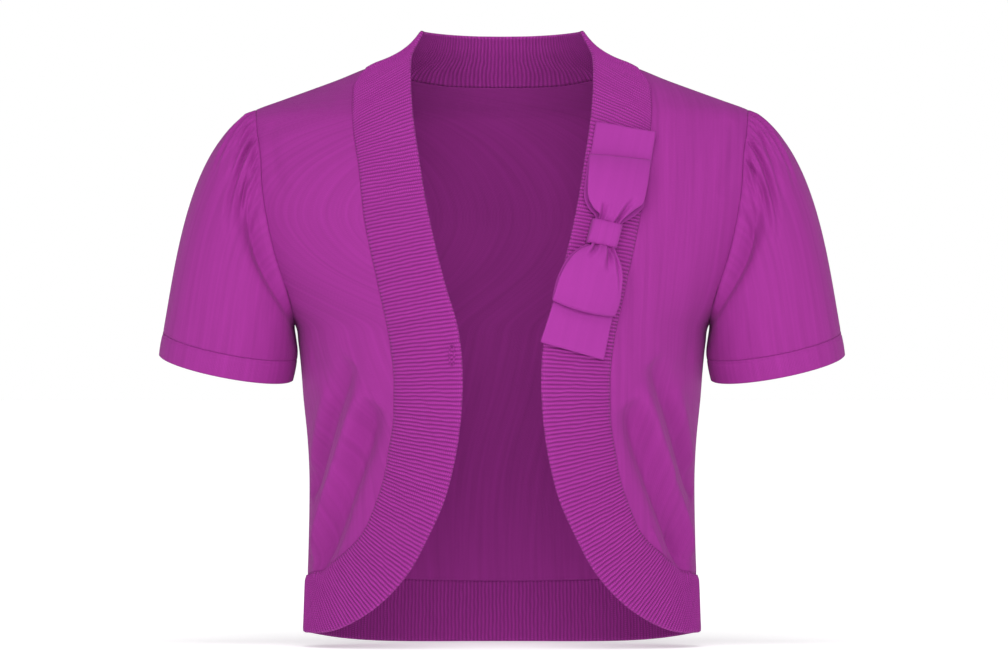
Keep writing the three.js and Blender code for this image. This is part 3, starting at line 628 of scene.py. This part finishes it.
def ribbed(name, node, place, knit_length):
    """A ribbed strip. place gives the angle and height at shares of the length and the width.
    Columns are even along its middle, and the crest inside lies over the groove outside. The
    ribs flatten on the roll, and near the seam the strip thins to the jersey."""
    samples = steps(1500)
    middle = form(*place(samples, 0.5))
    along = np.append(0, np.cumsum(np.linalg.norm(np.diff(middle, axis=0), axis=-1)))
    ribs = round(along[-1] / RIB_PITCH)
    even = np.interp(steps(ribs * POINTS_PER_RIB) * along[-1], along, samples)
    across = steps(BAND_ROWS)[:, None]
    angle, z = place(even[None, :], across)
    count = np.broadcast_to(steps(ribs * POINTS_PER_RIB)[None, :] * ribs, angle.shape)
    phase = count + rib_wander(count, across)
    from_edge = across * knit_length
    roll = np.exp(-((from_edge / ROLL_WIDTH) ** 2))
    at_seam = np.exp(-(((1 - across) * knit_length / SEAM_SLOPE) ** 2))
    ribbing = RIB_HEIGHT * (1 - 0.7 * roll) * (1 - 0.4 * at_seam)
    rise = BAND_RISE * (1 - 0.9 * at_seam) + ROLL_RISE * roll
    outer = skin(angle, z, rise + ribbing * rib_wave(phase))
    inner = skin(angle, z, -CLOTH + ribbing * (1 - rib_wave(phase + 0.5)) - 0.3 * at_seam)
    knit_x = (phase + 0.5) * RIB_PITCH
    uv = np.stack([knit_x, np.broadcast_to(across * knit_length, phase.shape)], -1)
    piece = cloth(name, outer, inner, uv, RIB, free="top")
    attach(piece, "root")
    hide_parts(node)
    return piece


def collar_place(length_share, width_share):
    """Angle and height in the collar, which runs round the back of the neck. Its ribs run
    straight down on the widening form, so towards the seam they draw in to the middle."""
    straight = 180 * np.asarray(length_share) - 90
    drawn_in = 0.5 * width_share * (1 - (straight / 90) ** 2)
    angle = 180 + straight * (1 - drawn_in)
    from_back = np.abs(angle - 180)
    z = collar_free(from_back) + (collar_seam(from_back) - collar_free(from_back)) * width_share
    return behind_seam(angle, z), z


def hem_place(length_share, width_share):
    """Angle and height in the hem band of the back, from its seam down to its free edge."""
    angle = 90 + 180 * np.asarray(length_share)
    sidewards = np.abs(np.sin(np.radians(angle)))
    free_z = BACK_HEM_Z + (SIDE_HEM_Z - BACK_HEM_Z) * sidewards ** 4.8
    z = free_z + (hem_seam_z(angle) - free_z) * width_share
    return behind_seam(angle, z), z


ribbed("collar_rib", "collar", collar_place, 40)
ribbed("hem_rib", "hem_band", hem_place, 43)
ribbed("band_left_rib", "band_left", band_place, BAND_WIDTH)


def right_band_place(length_share, width_share):
    """The left band's place on the other side of the body."""
    angle, z = band_place(length_share, width_share)
    return 360 - angle, z


ribbed("band_right_rib", "band_right", right_band_place, BAND_WIDTH)

# Buttonhole
# The close stitches round a narrow upright slit near the free edge of the right band, worked in
# the band's yarn, which stand a little above the ribs. The slit itself isn't cut into the band.
BUTTONHOLE_X = 35.3
BUTTONHOLE_Z = -206.6
BUTTONHOLE_HALF_WIDTH = 1.7
BUTTONHOLE_HALF_LENGTH = 7.4
STITCHES = 44
STITCH_RADIUS = 0.75
POINTS_PER_STITCH = 6
POINTS_AROUND = 10
MEAN_RADIUS = 5
points_along = STITCHES * POINTS_PER_STITCH
around = (2 * np.pi * np.arange(points_along) / points_along)[:, None]
about = (2 * np.pi * np.arange(POINTS_AROUND) / POINTS_AROUND)[None, :]
thick = STITCH_RADIUS * (0.85 + 0.15 * np.cos(around * STITCHES))
reach = thick * np.cos(about)
x = BUTTONHOLE_X + (BUTTONHOLE_HALF_WIDTH + reach) * np.cos(around)
z = BUTTONHOLE_Z + (BUTTONHOLE_HALF_LENGTH + reach) * np.sin(around)
height = BAND_RISE + 0.8 * RIB_HEIGHT + thick * np.sin(about)
points = skin(360 - angle_at(x, z), z, height).reshape(-1, 3)
ids = np.arange(len(points)).reshape(x.shape)
ids = np.concatenate([ids, ids[:1]])
uv = np.stack(np.broadcast_arrays(around * MEAN_RADIUS, about * STITCH_RADIUS), -1)
uv = uv.reshape(-1, 2)
buttonhole = put_mesh("buttonhole_stitches", points, grid_ids(ids, True), uv, RIB)
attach(buttonhole, "root")

# Sleeves
# Short set-in sleeves of the jersey. The head is gathered into the armhole, so that small folds
# start at its seam and run down the front and back of the sleeve.
CUFF_HEIGHT = 16.5
CUFF_HALF_WIDTH = 49.2
CUFF_HALF_DEPTH = 44
CUFF_CENTRE = np.array([198.5, -5, -215.2])
CUFF_TILT = np.radians(10.7)
CUFF_DIP = np.radians(10)
SLEEVE_INSET = 0.3
SLEEVE_COLUMNS = 288
SLEEVE_ROWS = 90
CUFF_OUT = np.array([np.cos(CUFF_TILT), 0, np.sin(CUFF_TILT)])
CUFF_FRONT = np.array([0, -np.cos(CUFF_DIP), -np.sin(CUFF_DIP)])
CUFF_DOWN = unit(np.cross(CUFF_FRONT, CUFF_OUT))
CUFF_DOWN = CUFF_DOWN * -np.sign(CUFF_DOWN[2])
SLEEVE = table("turn outwards sideways down arrive", [
    [0, 146, 0, 68, 150],
    [45, 118, 50, 56, 125],
    [90, 62, 58, 48, 95],
    [135, 22, 28, 36, 60],
    [180, 1, 0, 14, 20],
])
sleeve_curves = {key: smooth(SLEEVE, "turn", key) for key in SLEEVE if key != "turn"}


def cuff_point(turn, up, height=0):
    """Point of the cuff's ring: an ellipse in the plane of its edge, moved up the arm."""
    turn, up, height = (
        given[..., None] for given in np.broadcast_arrays(np.radians(turn), up, height))
    ring = (CUFF_HALF_WIDTH + height) * np.cos(turn) * CUFF_OUT
    ring = ring + (CUFF_HALF_DEPTH + height) * np.sin(turn) * CUFF_FRONT
    return CUFF_CENTRE + ring - CUFF_DOWN * up


def sleeve_point(turn, share):
    """Point of the sleeve without its gathers: a cubic curve from the armhole to the cuff, with
    the headings of the table at its start and straight down the arm at its end."""
    turn, share = np.broadcast_arrays(turn, share)
    around = turn % 360
    from_top = np.minimum(around, 360 - around)
    frontward = np.where(around > 180, -1, 1)
    place = armhole_place(around)
    start = form(*place)
    along_seam = form(*armhole_place(around + 1)) - form(*armhole_place(around - 1))
    away = unit(np.cross(unit(along_seam), outwards(*place)))
    away = away * np.sign(away[..., 0] - 0.2 * away[..., 2])[..., None]
    start = start + away * SLEEVE_INSET
    end = cuff_point(around, CUFF_HEIGHT + SEAM_GAP / 2)
    leave = np.stack([sleeve_curves["outwards"](from_top),
                      -frontward * sleeve_curves["sideways"](from_top),
                      -sleeve_curves["down"](from_top)], -1)
    arrive = CUFF_DOWN * sleeve_curves["arrive"](from_top)[..., None]
    t = share[..., None]
    return (start * (1 + 2 * t) * (1 - t) ** 2 + leave * t * (1 - t) ** 2
            + end * t * t * (3 - 2 * t) - arrive * t * t * (1 - t))


def sleeve_outwards(turn, share):
    """Direction out of the sleeve: the armhole's own at its seam, and the cross product of the
    steps round and down the sleeve below it."""
    lower = np.clip(share, 0.02, 1)
    across = sleeve_point(turn + 1, share) - sleeve_point(turn - 1, share)
    down = sleeve_point(turn, lower) - sleeve_point(turn, lower - 0.02)
    own = unit(np.cross(across, down))
    seam = outwards(*armhole_place(turn))
    t = np.clip(share / 0.06, 0, 1)[..., None]
    return unit(seam * (1 - t) + own * t)


# Gathers, as troughs from the seam: where each starts and how many degrees it leans on its way,
# its reach as a share of the sleeve, its depth and its half width.
GATHERS = table("turn lean reach depth width", [
    [4, 6, 0.2, 1.8, 1.9],
    [11, 20, 0.3, 3.4, 1.9],
    [22, 22, 0.2, 2, 1.7],
    [31, 24, 0.28, 2.6, 1.9],
    [42, 26, 0.4, 4.6, 2],
    [50, 22, 0.2, 2.8, 1.8],
    [58, 20, 0.3, 2.8, 1.9],
    [67, 16, 0.2, 1.8, 1.8],
    [78, 12, 0.25, 1.5, 2.2],
    [-6, -8, 0.24, 2.2, 1.9],
    [-16, -18, 0.3, 3, 1.9],
    [-26, -20, 0.2, 2.2, 1.8],
    [-35, -24, 0.4, 3.8, 2],
    [-46, -22, 0.22, 2.6, 1.8],
    [-56, -18, 0.32, 2.8, 1.9],
    [-68, -14, 0.2, 1.6, 2],
])
MM_PER_TURN = 1.15


def gather_height(turn, share, shift):
    """Sum of the gathers: each a bell-shaped trough round a line that leans away from the top,
    beside two lower ridges, and fading towards its end."""
    signed = np.where(turn > 180, turn - 360, turn)
    height = np.zeros(np.broadcast(turn, share).shape)
    for number, (start, lean, reach, depth, width) in enumerate(zip(*GATHERS.values())):
        reach = reach * (1 + shift * 0.25 * np.sin(number * 2.3))
        fade = np.clip(1 - share / reach, 0, 1) ** 0.8 * np.clip(share * 22, 0, 1)
        spread = width * (1 + 1.2 * share / reach)
        line = start + shift * 2.5 * np.sin(number * 1.7) + lean * share / reach
        distance = (signed - line) * MM_PER_TURN / spread
        trough = np.exp(-(distance ** 2)) - 0.55 * np.exp(-((np.abs(distance) - 1.9) ** 2))
        height = height - depth * fade * trough
    return height


HOLLOW_TURN = 96
HOLLOW_SPREAD = 36
HOLLOW_SHARE = 0.17
HOLLOW_REACH = 0.11
HOLLOW_DEPTH = 10


def hollow_height(turn, share):
    """The hanging sleeve folds in beside the body: a broad trough along the lower front and back
    of the armhole, whose depth is a bell curve of the turn and of the way down the sleeve."""
    from_top = np.minimum(turn, 360 - turn)
    around = np.exp(-(((from_top - HOLLOW_TURN) / HOLLOW_SPREAD) ** 2))
    down = np.exp(-(((share - HOLLOW_SHARE) / HOLLOW_REACH) ** 2)) * np.clip(share * 14, 0, 1)
    return -HOLLOW_DEPTH * around * down


turn = (360 * np.arange(SLEEVE_COLUMNS) / SLEEVE_COLUMNS)[None, :]
share = steps(SLEEVE_ROWS)[:, None] ** 1.25
plain = sleeve_point(turn, share)
away = sleeve_outwards(*np.broadcast_arrays(turn, share))
SLEEVE_GIRTH = 345
SLEEVE_LENGTH = 170
sleeve_uv = np.stack(np.broadcast_arrays(turn / 360 * SLEEVE_GIRTH, share * SLEEVE_LENGTH), -1)
CUFF_ROWS = 18
CUFF_COLUMNS = 200
CUFF_STITCHES = 130
CUFF_SWELL = 0.35
CUFF_GIRTH = 292
STITCH_LINE = 1.6
STITCH_GROOVE = 0.5
sunk = sunk_edges(plain.shape[:2], ringed=True)
for name, side, shift in (("left", 1, 1), ("right", -1, 0)):
    mirror = np.array([side, 1, 1])
    raised = (gather_height(turn, share, shift) + hollow_height(turn, share) + sunk)[..., None]
    outer = (plain + away * raised) * mirror
    inner = (plain + away * (raised - CLOTH)) * mirror
    sleeve = cloth(f"sleeve_{name}_cloth", outer, inner, sleeve_uv, JERSEY, ringed=True)
    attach(sleeve, "root")
    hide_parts(f"sleeve_{name}")

    # Cuff
    # The narrow edge of the sleeve, turned up and stitched, so that a fine groove and a row of
    # small dents run round it just below its seam.
    around = (360 * np.arange(CUFF_COLUMNS) / CUFF_COLUMNS)[None, :]
    up = (CUFF_HEIGHT - SEAM_GAP / 2) * (1 - steps(CUFF_ROWS))[:, None]
    groove = np.exp(-(((up - CUFF_HEIGHT + STITCH_LINE) / STITCH_GROOVE) ** 2))
    dents = 0.5 + 0.5 * np.cos(2 * np.pi * around / 360 * CUFF_STITCHES)
    swell = CUFF_SWELL * np.sin(np.pi * up / CUFF_HEIGHT) - groove * (0.35 + 0.2 * dents)
    around, up, swell = np.broadcast_arrays(around, up, swell)
    outer = cuff_point(around, up, swell) * mirror
    inner = cuff_point(around, up, -CLOTH) * mirror
    uv = np.stack([around / 360 * CUFF_GIRTH, up], -1)
    cuff = cloth(f"cuff_{name}_cloth", outer, inner, uv, JERSEY, free="bottom", ringed=True)
    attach(cuff, "root")
    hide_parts(f"cuff_{name}")

# Bow
# A flat bow of a finer and smoother jersey, tacked on the left band. A straight strip lies under
# a closed loop of about the same width, and a short strip wrapped round the middle pleats both.
BOW_LEAN = np.radians(13.7)
BOW_X = 71.8
BOW_Z = -121.5
BOW_CLOTH = 1.2
TAIL_FLOOR = 2.0
BOW_WALE = 0.0008
BOW_COURSE = 0.00085
# The bow jersey's grooves carry a slight painted shade.
BOW_JERSEY = knit_material("bow_jersey", (0.3, 0.027, 0.26), BOW_WALE, BOW_COURSE,
                           relief=0.00012, streak=0.16, groove_painted_shade=0.16)

# Edges of the bow's layers across it, at distances along it from its upper end.
BOW_EDGES = table("along loop_start loop_end under_start under_end tail_start tail_end", [
    [-80, -23, 20.4, -23, 20.4, -23.9, 18.2],
    [-56, -22.9, 19, -22.9, 20, -22.2, 20.2],
    [-45, -22, 19.4, -22.3, 20.4, -21.6, 20.8],
    [-33, -20.6, 19.6, -21.3, 20.8, -20.6, 20.8],
    [-26, -19.4, 19.6, -20.5, 21.8, -19.4, 19.8],
    [-19, -16.8, 14.4, -18.1, 18.4, -16.2, 16],
    [-14, -12.1, 10.7, -13.9, 14, -12, 12.2],
    [-10.5, -7, 8, -9, 10.3, -8, 8.8],
    [0, -6.8, 7.2, -7.4, 7.6, -7.6, 7.6],
    [10.5, -8.2, 8, -11.2, 10.3, -8, 8.8],
    [14, -12.6, 10.6, -15, 12.8, -12, 12.2],
    [19, -17.4, 13.6, -19.2, 15, -16.8, 14.6],
    [26, -21.1, 15.8, -22.2, 16.8, -20.6, 17],
    [33, -23.2, 17, -23.9, 17.9, -22, 17.8],
    [44, -24.7, 18.5, -25, 19, -22.8, 18.6],
    [57, -24.8, 19, -24.9, 19.2, -23.4, 19.2],
    [88, -25, 19.5, -25, 19.5, -26, 19.4],
])


def bow_point(along, across, height):
    """Point of the bow: along it from the knot, across it, and a height out from the jersey."""
    x = BOW_X - along * np.sin(BOW_LEAN) + across * np.cos(BOW_LEAN)
    z = BOW_Z - along * np.cos(BOW_LEAN) - across * np.sin(BOW_LEAN)
    return skin(angle_at(x, z), z, height)


def bow_across(layer, along, share):
    """How far across the bow a share of a layer's width lies."""
    start = smooth(BOW_EDGES, "along", f"{layer}_start")(along)
    end = smooth(BOW_EDGES, "along", f"{layer}_end")(along)
    return start + (end - start) * share


def bow_piece(name, outer, inner, uv, free, ringed, flat, held):
    """A thin wall of the bow's jersey in place of its solid."""
    piece = cloth(f"{name}_cloth", outer, inner, uv, BOW_JERSEY, free=free, ringed=ringed)
    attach(piece, "root")
    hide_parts(name)


# The tail's ends are cut slanted, curl up a little, and the cloth between ripples softly.
TAIL_ROWS = 130
TAIL_COLUMNS = 40
UPPER_TAIL = 76
LOWER_TAIL = 84
UPPER_SLANT = 3
LOWER_SLANT = 2
TAIL_CURL = 1.3
TAIL_RIPPLE = 0.25
share = steps(TAIL_COLUMNS)[None, :]
along = (-UPPER_TAIL + (UPPER_TAIL + LOWER_TAIL) * steps(TAIL_ROWS))[:, None]
slant = np.where(along < 0, along / UPPER_TAIL * UPPER_SLANT, along / LOWER_TAIL * LOWER_SLANT)
across = bow_across("tail", along, share)
along = along + slant * share
curl = TAIL_CURL * np.clip((np.abs(along) - 58) / 24, 0, 1) ** 2
height = TAIL_FLOOR + TAIL_RIPPLE + (curl + TAIL_RIPPLE * np.sin(across / 5 + along / 9))
bow_piece("bow_tail", bow_point(along, across, height + BOW_CLOTH),
          bow_point(along, across, height), np.stack(np.broadcast_arrays(across, along), -1),
          "top bottom left right", False, (0.164, 0.045), "laid")

# One half of the loop seen from its side: distance from the knot along the bow, and height of
# the middle of the cloth. The other half is its mirror image.
LOOP_SIDE = table("along height", [
    [0, 5.6],
    [8.2, 6.1],
    [10.5, 8.2],
    [14, 10],
    [20, 11.2],
    [30, 12],
    [43, 11],
    [52, 8.3],
    [55.6, 6.2],
    [52.5, 4.5],
    [40, 4.15],
    [20, 4.15],
    [0, 4.15],
])
# Pleats of the loop's upper layer. Each is a line from a place beside the knot to one farther
# out, by way of a middle that is halfway along the bow.
PLEATS = table("along_0 across_0 across_middle along_1 across_1 depth width", [
    [-9, -5, -5.4, -20, -5.8, 4.2, 1.1],
    [-9, 5.2, 8.8, -27, 13.2, 4.2, 1],
    [9, -4.2, -6.1, 20, -8.6, 4.2, 1.1],
    [9, 4.4, 5.2, 27, 5.8, 5, 1.3],
    [10, 5.6, 13.1, 41, 17.4, 2.5, 0.75],
])
LOOP_COLUMNS = 280
LOOP_ROWS = 96
LOOP_TIP = 55.6
LOOP_LOWEST = 5.5
LOOP_DOME = 1.3


def pleat_height(along, across):
    """Sum of the pleats: each a bell-shaped trough round a bent line, between two low ridges,
    and fading away from the knot."""
    height = np.zeros(np.broadcast(along, across).shape)
    for along_0, across_0, middle, along_1, across_1, depth, width in zip(*PLEATS.values()):
        share = (along - along_0) / (along_1 - along_0)
        share = np.where(share < -0.1, 1, np.clip(share, 0, 1))
        bend = 4 * middle - 2 * across_0 - 2 * across_1
        line = across_0 + (across_1 - across_0) * share + bend * share * (1 - share)
        slope = (across_1 - across_0) / (along_1 - along_0)
        distance = (across - line) / np.hypot(1, slope) / (width * (1 + 0.6 * share))
        trough = np.exp(-(distance ** 2)) - 0.35 * np.exp(-((np.abs(distance) - 2) ** 2))
        height = height - depth * np.clip(1 - share, 0, 1) ** 0.8 * trough
    return height


far_half = {key: value[-2:0:-1] * (-1 if key == "along" else 1) for key, value in LOOP_SIDE.items()}
ring = {key: np.append(value, far_half[key]) for key, value in LOOP_SIDE.items()}
ring = {key: np.append(value, value[0]) for key, value in ring.items()}
chords = np.hypot(np.diff(ring["along"]), np.diff(ring["height"]))
ring["path"] = np.append(0, np.cumsum(np.sqrt(chords)))
fine = steps(4000) * ring["path"][-1]
fine_along = smooth(ring, "path", "along")(fine)
fine_height = smooth(ring, "path", "height")(fine)
travelled = np.append(0, np.cumsum(np.hypot(np.diff(fine_along), np.diff(fine_height))))
even = steps(LOOP_COLUMNS)[:-1] * travelled[-1]
side_along = np.interp(even, travelled, fine_along)[None, :]
side_height = np.interp(even, travelled, fine_height)[None, :]
ahead = np.roll(side_along, -1) - np.roll(side_along, 1)
up = np.roll(side_height, -1) - np.roll(side_height, 1)
length = np.hypot(ahead, up)
ahead, up = ahead / length, up / length
share = steps(LOOP_ROWS)[:, None]
on_top = np.clip((side_height - LOOP_LOWEST) / 1.5, 0, 1)
beside_knot = np.clip((np.abs(side_along) - 8) / 6, 0, 1)
under = bow_across("under", side_along, share)
across = under + (bow_across("loop", side_along, share) - under) * np.clip(ahead + 0.5, 0, 1)
# Towards its tips the loop is a little shorter or longer across its width, as its folds aren't
# square. The upper layer is domed across, and the pleats don't go through the lower layer.
far = (np.abs(side_along) / LOOP_TIP) ** 2
upper_end = 0.972 + 0.113 * (share - 0.5)
lower_end = 0.968 + 0.008 * share + 0.18 * share * (1 - share)
stretch = 1 + far * (np.where(side_along < 0, upper_end, lower_end) - 1)
dome = (LOOP_DOME * (1 - (2 * share - 1) ** 4) - 0.5) * on_top * beside_knot
pleats = pleat_height(side_along, across) * on_top
lowest = np.where(ahead > 0.5, LOOP_LOWEST, 0)
walls = []
for out in (BOW_CLOTH / 2, -BOW_CLOTH / 2):
    height = np.maximum(side_height + dome + pleats, lowest) + out * ahead
    walls.append(bow_point(side_along * stretch - out * up, across, height))
bow_uv = np.stack(np.broadcast_arrays(across, even[None, :]), -1)
bow_piece("bow_loop", *walls, bow_uv, "top bottom", True, (0.235, 0.045), "folded")

# The knot's strip arches over the loops, and its feet come down to the band.
KNOT_HALF_WIDTH = 10.6
KNOT_HALF_LENGTH = 8.4
KNOT_CLOTH = 1.4
KNOT_INNER_HEIGHT = 6.7
KNOT_CORNER = 0.3
KNOT_PUFF = 1.5
KNOT_ROWS = 22
KNOT_COLUMNS = 90
lengthwise = (2 * steps(KNOT_ROWS) - 1)[:, None]
turn = np.pi * (1 - steps(KNOT_COLUMNS))[None, :]
sideways = np.sign(np.cos(turn)) * np.abs(np.cos(turn)) ** KNOT_CORNER
rise = np.sin(turn) ** KNOT_CORNER
puff = KNOT_PUFF * (1 - lengthwise ** 2) ** 0.6 - 0.5
along = lengthwise * KNOT_HALF_LENGTH - 0.045 * KNOT_HALF_WIDTH * sideways
walls = []
for out in (KNOT_CLOTH, 0):
    across = -0.4 + (KNOT_HALF_WIDTH - KNOT_CLOTH + out) * sideways - 0.04 * along
    height = TAIL_FLOOR + (KNOT_INNER_HEIGHT + out + puff - TAIL_FLOOR) * rise
    walls.append(bow_point(*np.broadcast_arrays(along, across, height)))
arc = KNOT_HALF_WIDTH * (turn - np.pi / 2)
bow_piece("bow_knot", *walls, np.stack(np.broadcast_arrays(arc, along), -1), "top bottom", False,
          (0.034, 0.018), "folded")

# Stage
# A white table that glows a little, as a studio's lit table does, under a white surround, and a
# camera level with the garment. The glow is weakest under the garment and rises smoothly to its
# full strength about a metre away: painted shade round the garment, which deepens the real
# shadow under the hem. The surround lights the garment less than it shows.
FLOOR_Z = -0.4165
CAMERA_DISTANCE = 8.0
PIXEL = 0.72 * MM
IMAGE_WIDTH = 1008
SENSOR = 36
VIEW_CENTRE_X = 2
VIEW_CENTRE_Z = -268
FLOOR_REACH = 30
NEAR_GLOW = 0.45
FAR_GLOW = 0.7
NEAR = 0.45
FAR = 1.1
SURROUND_LIGHT = 0.38
floor_mesh = bpy.data.meshes.new("floor")
floor_corners = [(x * FLOOR_REACH, y * FLOOR_REACH, FLOOR_Z)
                 for x, y in ((-1, -1), (1, -1), (1, 1), (-1, 1))]
floor_mesh.from_pydata(floor_corners, [], [(0, 1, 2, 3)])
floor = bpy.data.objects.new("floor", floor_mesh)
bpy.context.scene.collection.objects.link(floor)
pale = bpy.data.materials.new("pale_floor")
pale.use_nodes = True
pale_shader = pale.node_tree.nodes["Principled BSDF"]
pale_shader.inputs["Base Color"].default_value = (0.9, 0.9, 0.9, 1)
pale_shader.inputs["Roughness"].default_value = 0.9
pale_shader.inputs["Emission Color"].default_value = (1, 1, 1, 1)
spot = pale.node_tree.nodes.new("ShaderNodeTexCoord")
distance = pale.node_tree.nodes.new("ShaderNodeVectorMath")
distance.operation = "LENGTH"
link(pale.node_tree, spot.outputs["Object"], distance.inputs[0])
# Painted shade: the table glows less close to the garment than far from it, which deepens the real
# shadow under the hem.
glow = pale.node_tree.nodes.new("ShaderNodeMapRange")
glow.interpolation_type = "SMOOTHSTEP"
glow.inputs["From Min"].default_value = NEAR
glow.inputs["From Max"].default_value = FAR
glow.inputs["To Min"].default_value = NEAR_GLOW
glow.inputs["To Max"].default_value = FAR_GLOW
link(pale.node_tree, distance.outputs["Value"], glow.inputs["Value"])
link(pale.node_tree, glow.outputs[0], pale_shader.inputs["Emission Strength"])
floor_mesh.materials.append(pale)

world = bpy.data.worlds.new("white_surround")
world.use_nodes = True
surround = world.node_tree.nodes["Background"]
surround.inputs["Color"].default_value = (1, 1, 1, 1)
ray = world.node_tree.nodes.new("ShaderNodeLightPath")
shown = math_node(world.node_tree, "MAXIMUM", ray.outputs["Is Camera Ray"], SURROUND_LIGHT)
link(world.node_tree, shown, surround.inputs["Strength"])
bpy.context.scene.world = world
bpy.context.scene.view_settings.view_transform = "Standard"


LIGHT_TARGET = np.array([0, 0, -0.2])


def soft_light(name, place, size, power):
    """A square area light that faces the middle of the garment."""
    data = bpy.data.lights.new(name, "AREA")
    data.shape = "SQUARE"
    data.size = size
    data.energy = power
    light = bpy.data.objects.new(name, data)
    light.location = place
    aim = LIGHT_TARGET - np.array(place)
    flat_length = float(np.hypot(aim[0], aim[1]))
    pitch = math.atan2(flat_length, -aim[2])
    light.rotation_euler = (pitch, 0, math.atan2(-aim[0], aim[1]))
    bpy.context.scene.collection.objects.link(light)


soft_light("front_box", (0, -4, 1.4), 2, 60)
soft_light("top_box", (0, -1.6, 2.6), 1.4, 28)
soft_light("high_left_box", (1.4, -3, 1.2), 0.8, 14)
soft_light("high_right_box", (-1.4, -3, 1.2), 0.8, 14)
soft_light("low_left_box", (1.4, -3, -0.3), 0.8, 8)
soft_light("low_right_box", (-1.4, -3, -0.3), 0.8, 8)

camera_data = bpy.data.cameras.new("camera")
camera_data.sensor_width = SENSOR
camera_data.lens = SENSOR * CAMERA_DISTANCE / (IMAGE_WIDTH * PIXEL)
camera_data.clip_end = 50
camera = bpy.data.objects.new("camera", camera_data)
camera.location = (VIEW_CENTRE_X * PIXEL, -CAMERA_DISTANCE, VIEW_CENTRE_Z * PIXEL)
camera.rotation_euler = (math.radians(90), 0, 0)
bpy.context.scene.collection.objects.link(camera)
bpy.context.scene.camera = camera
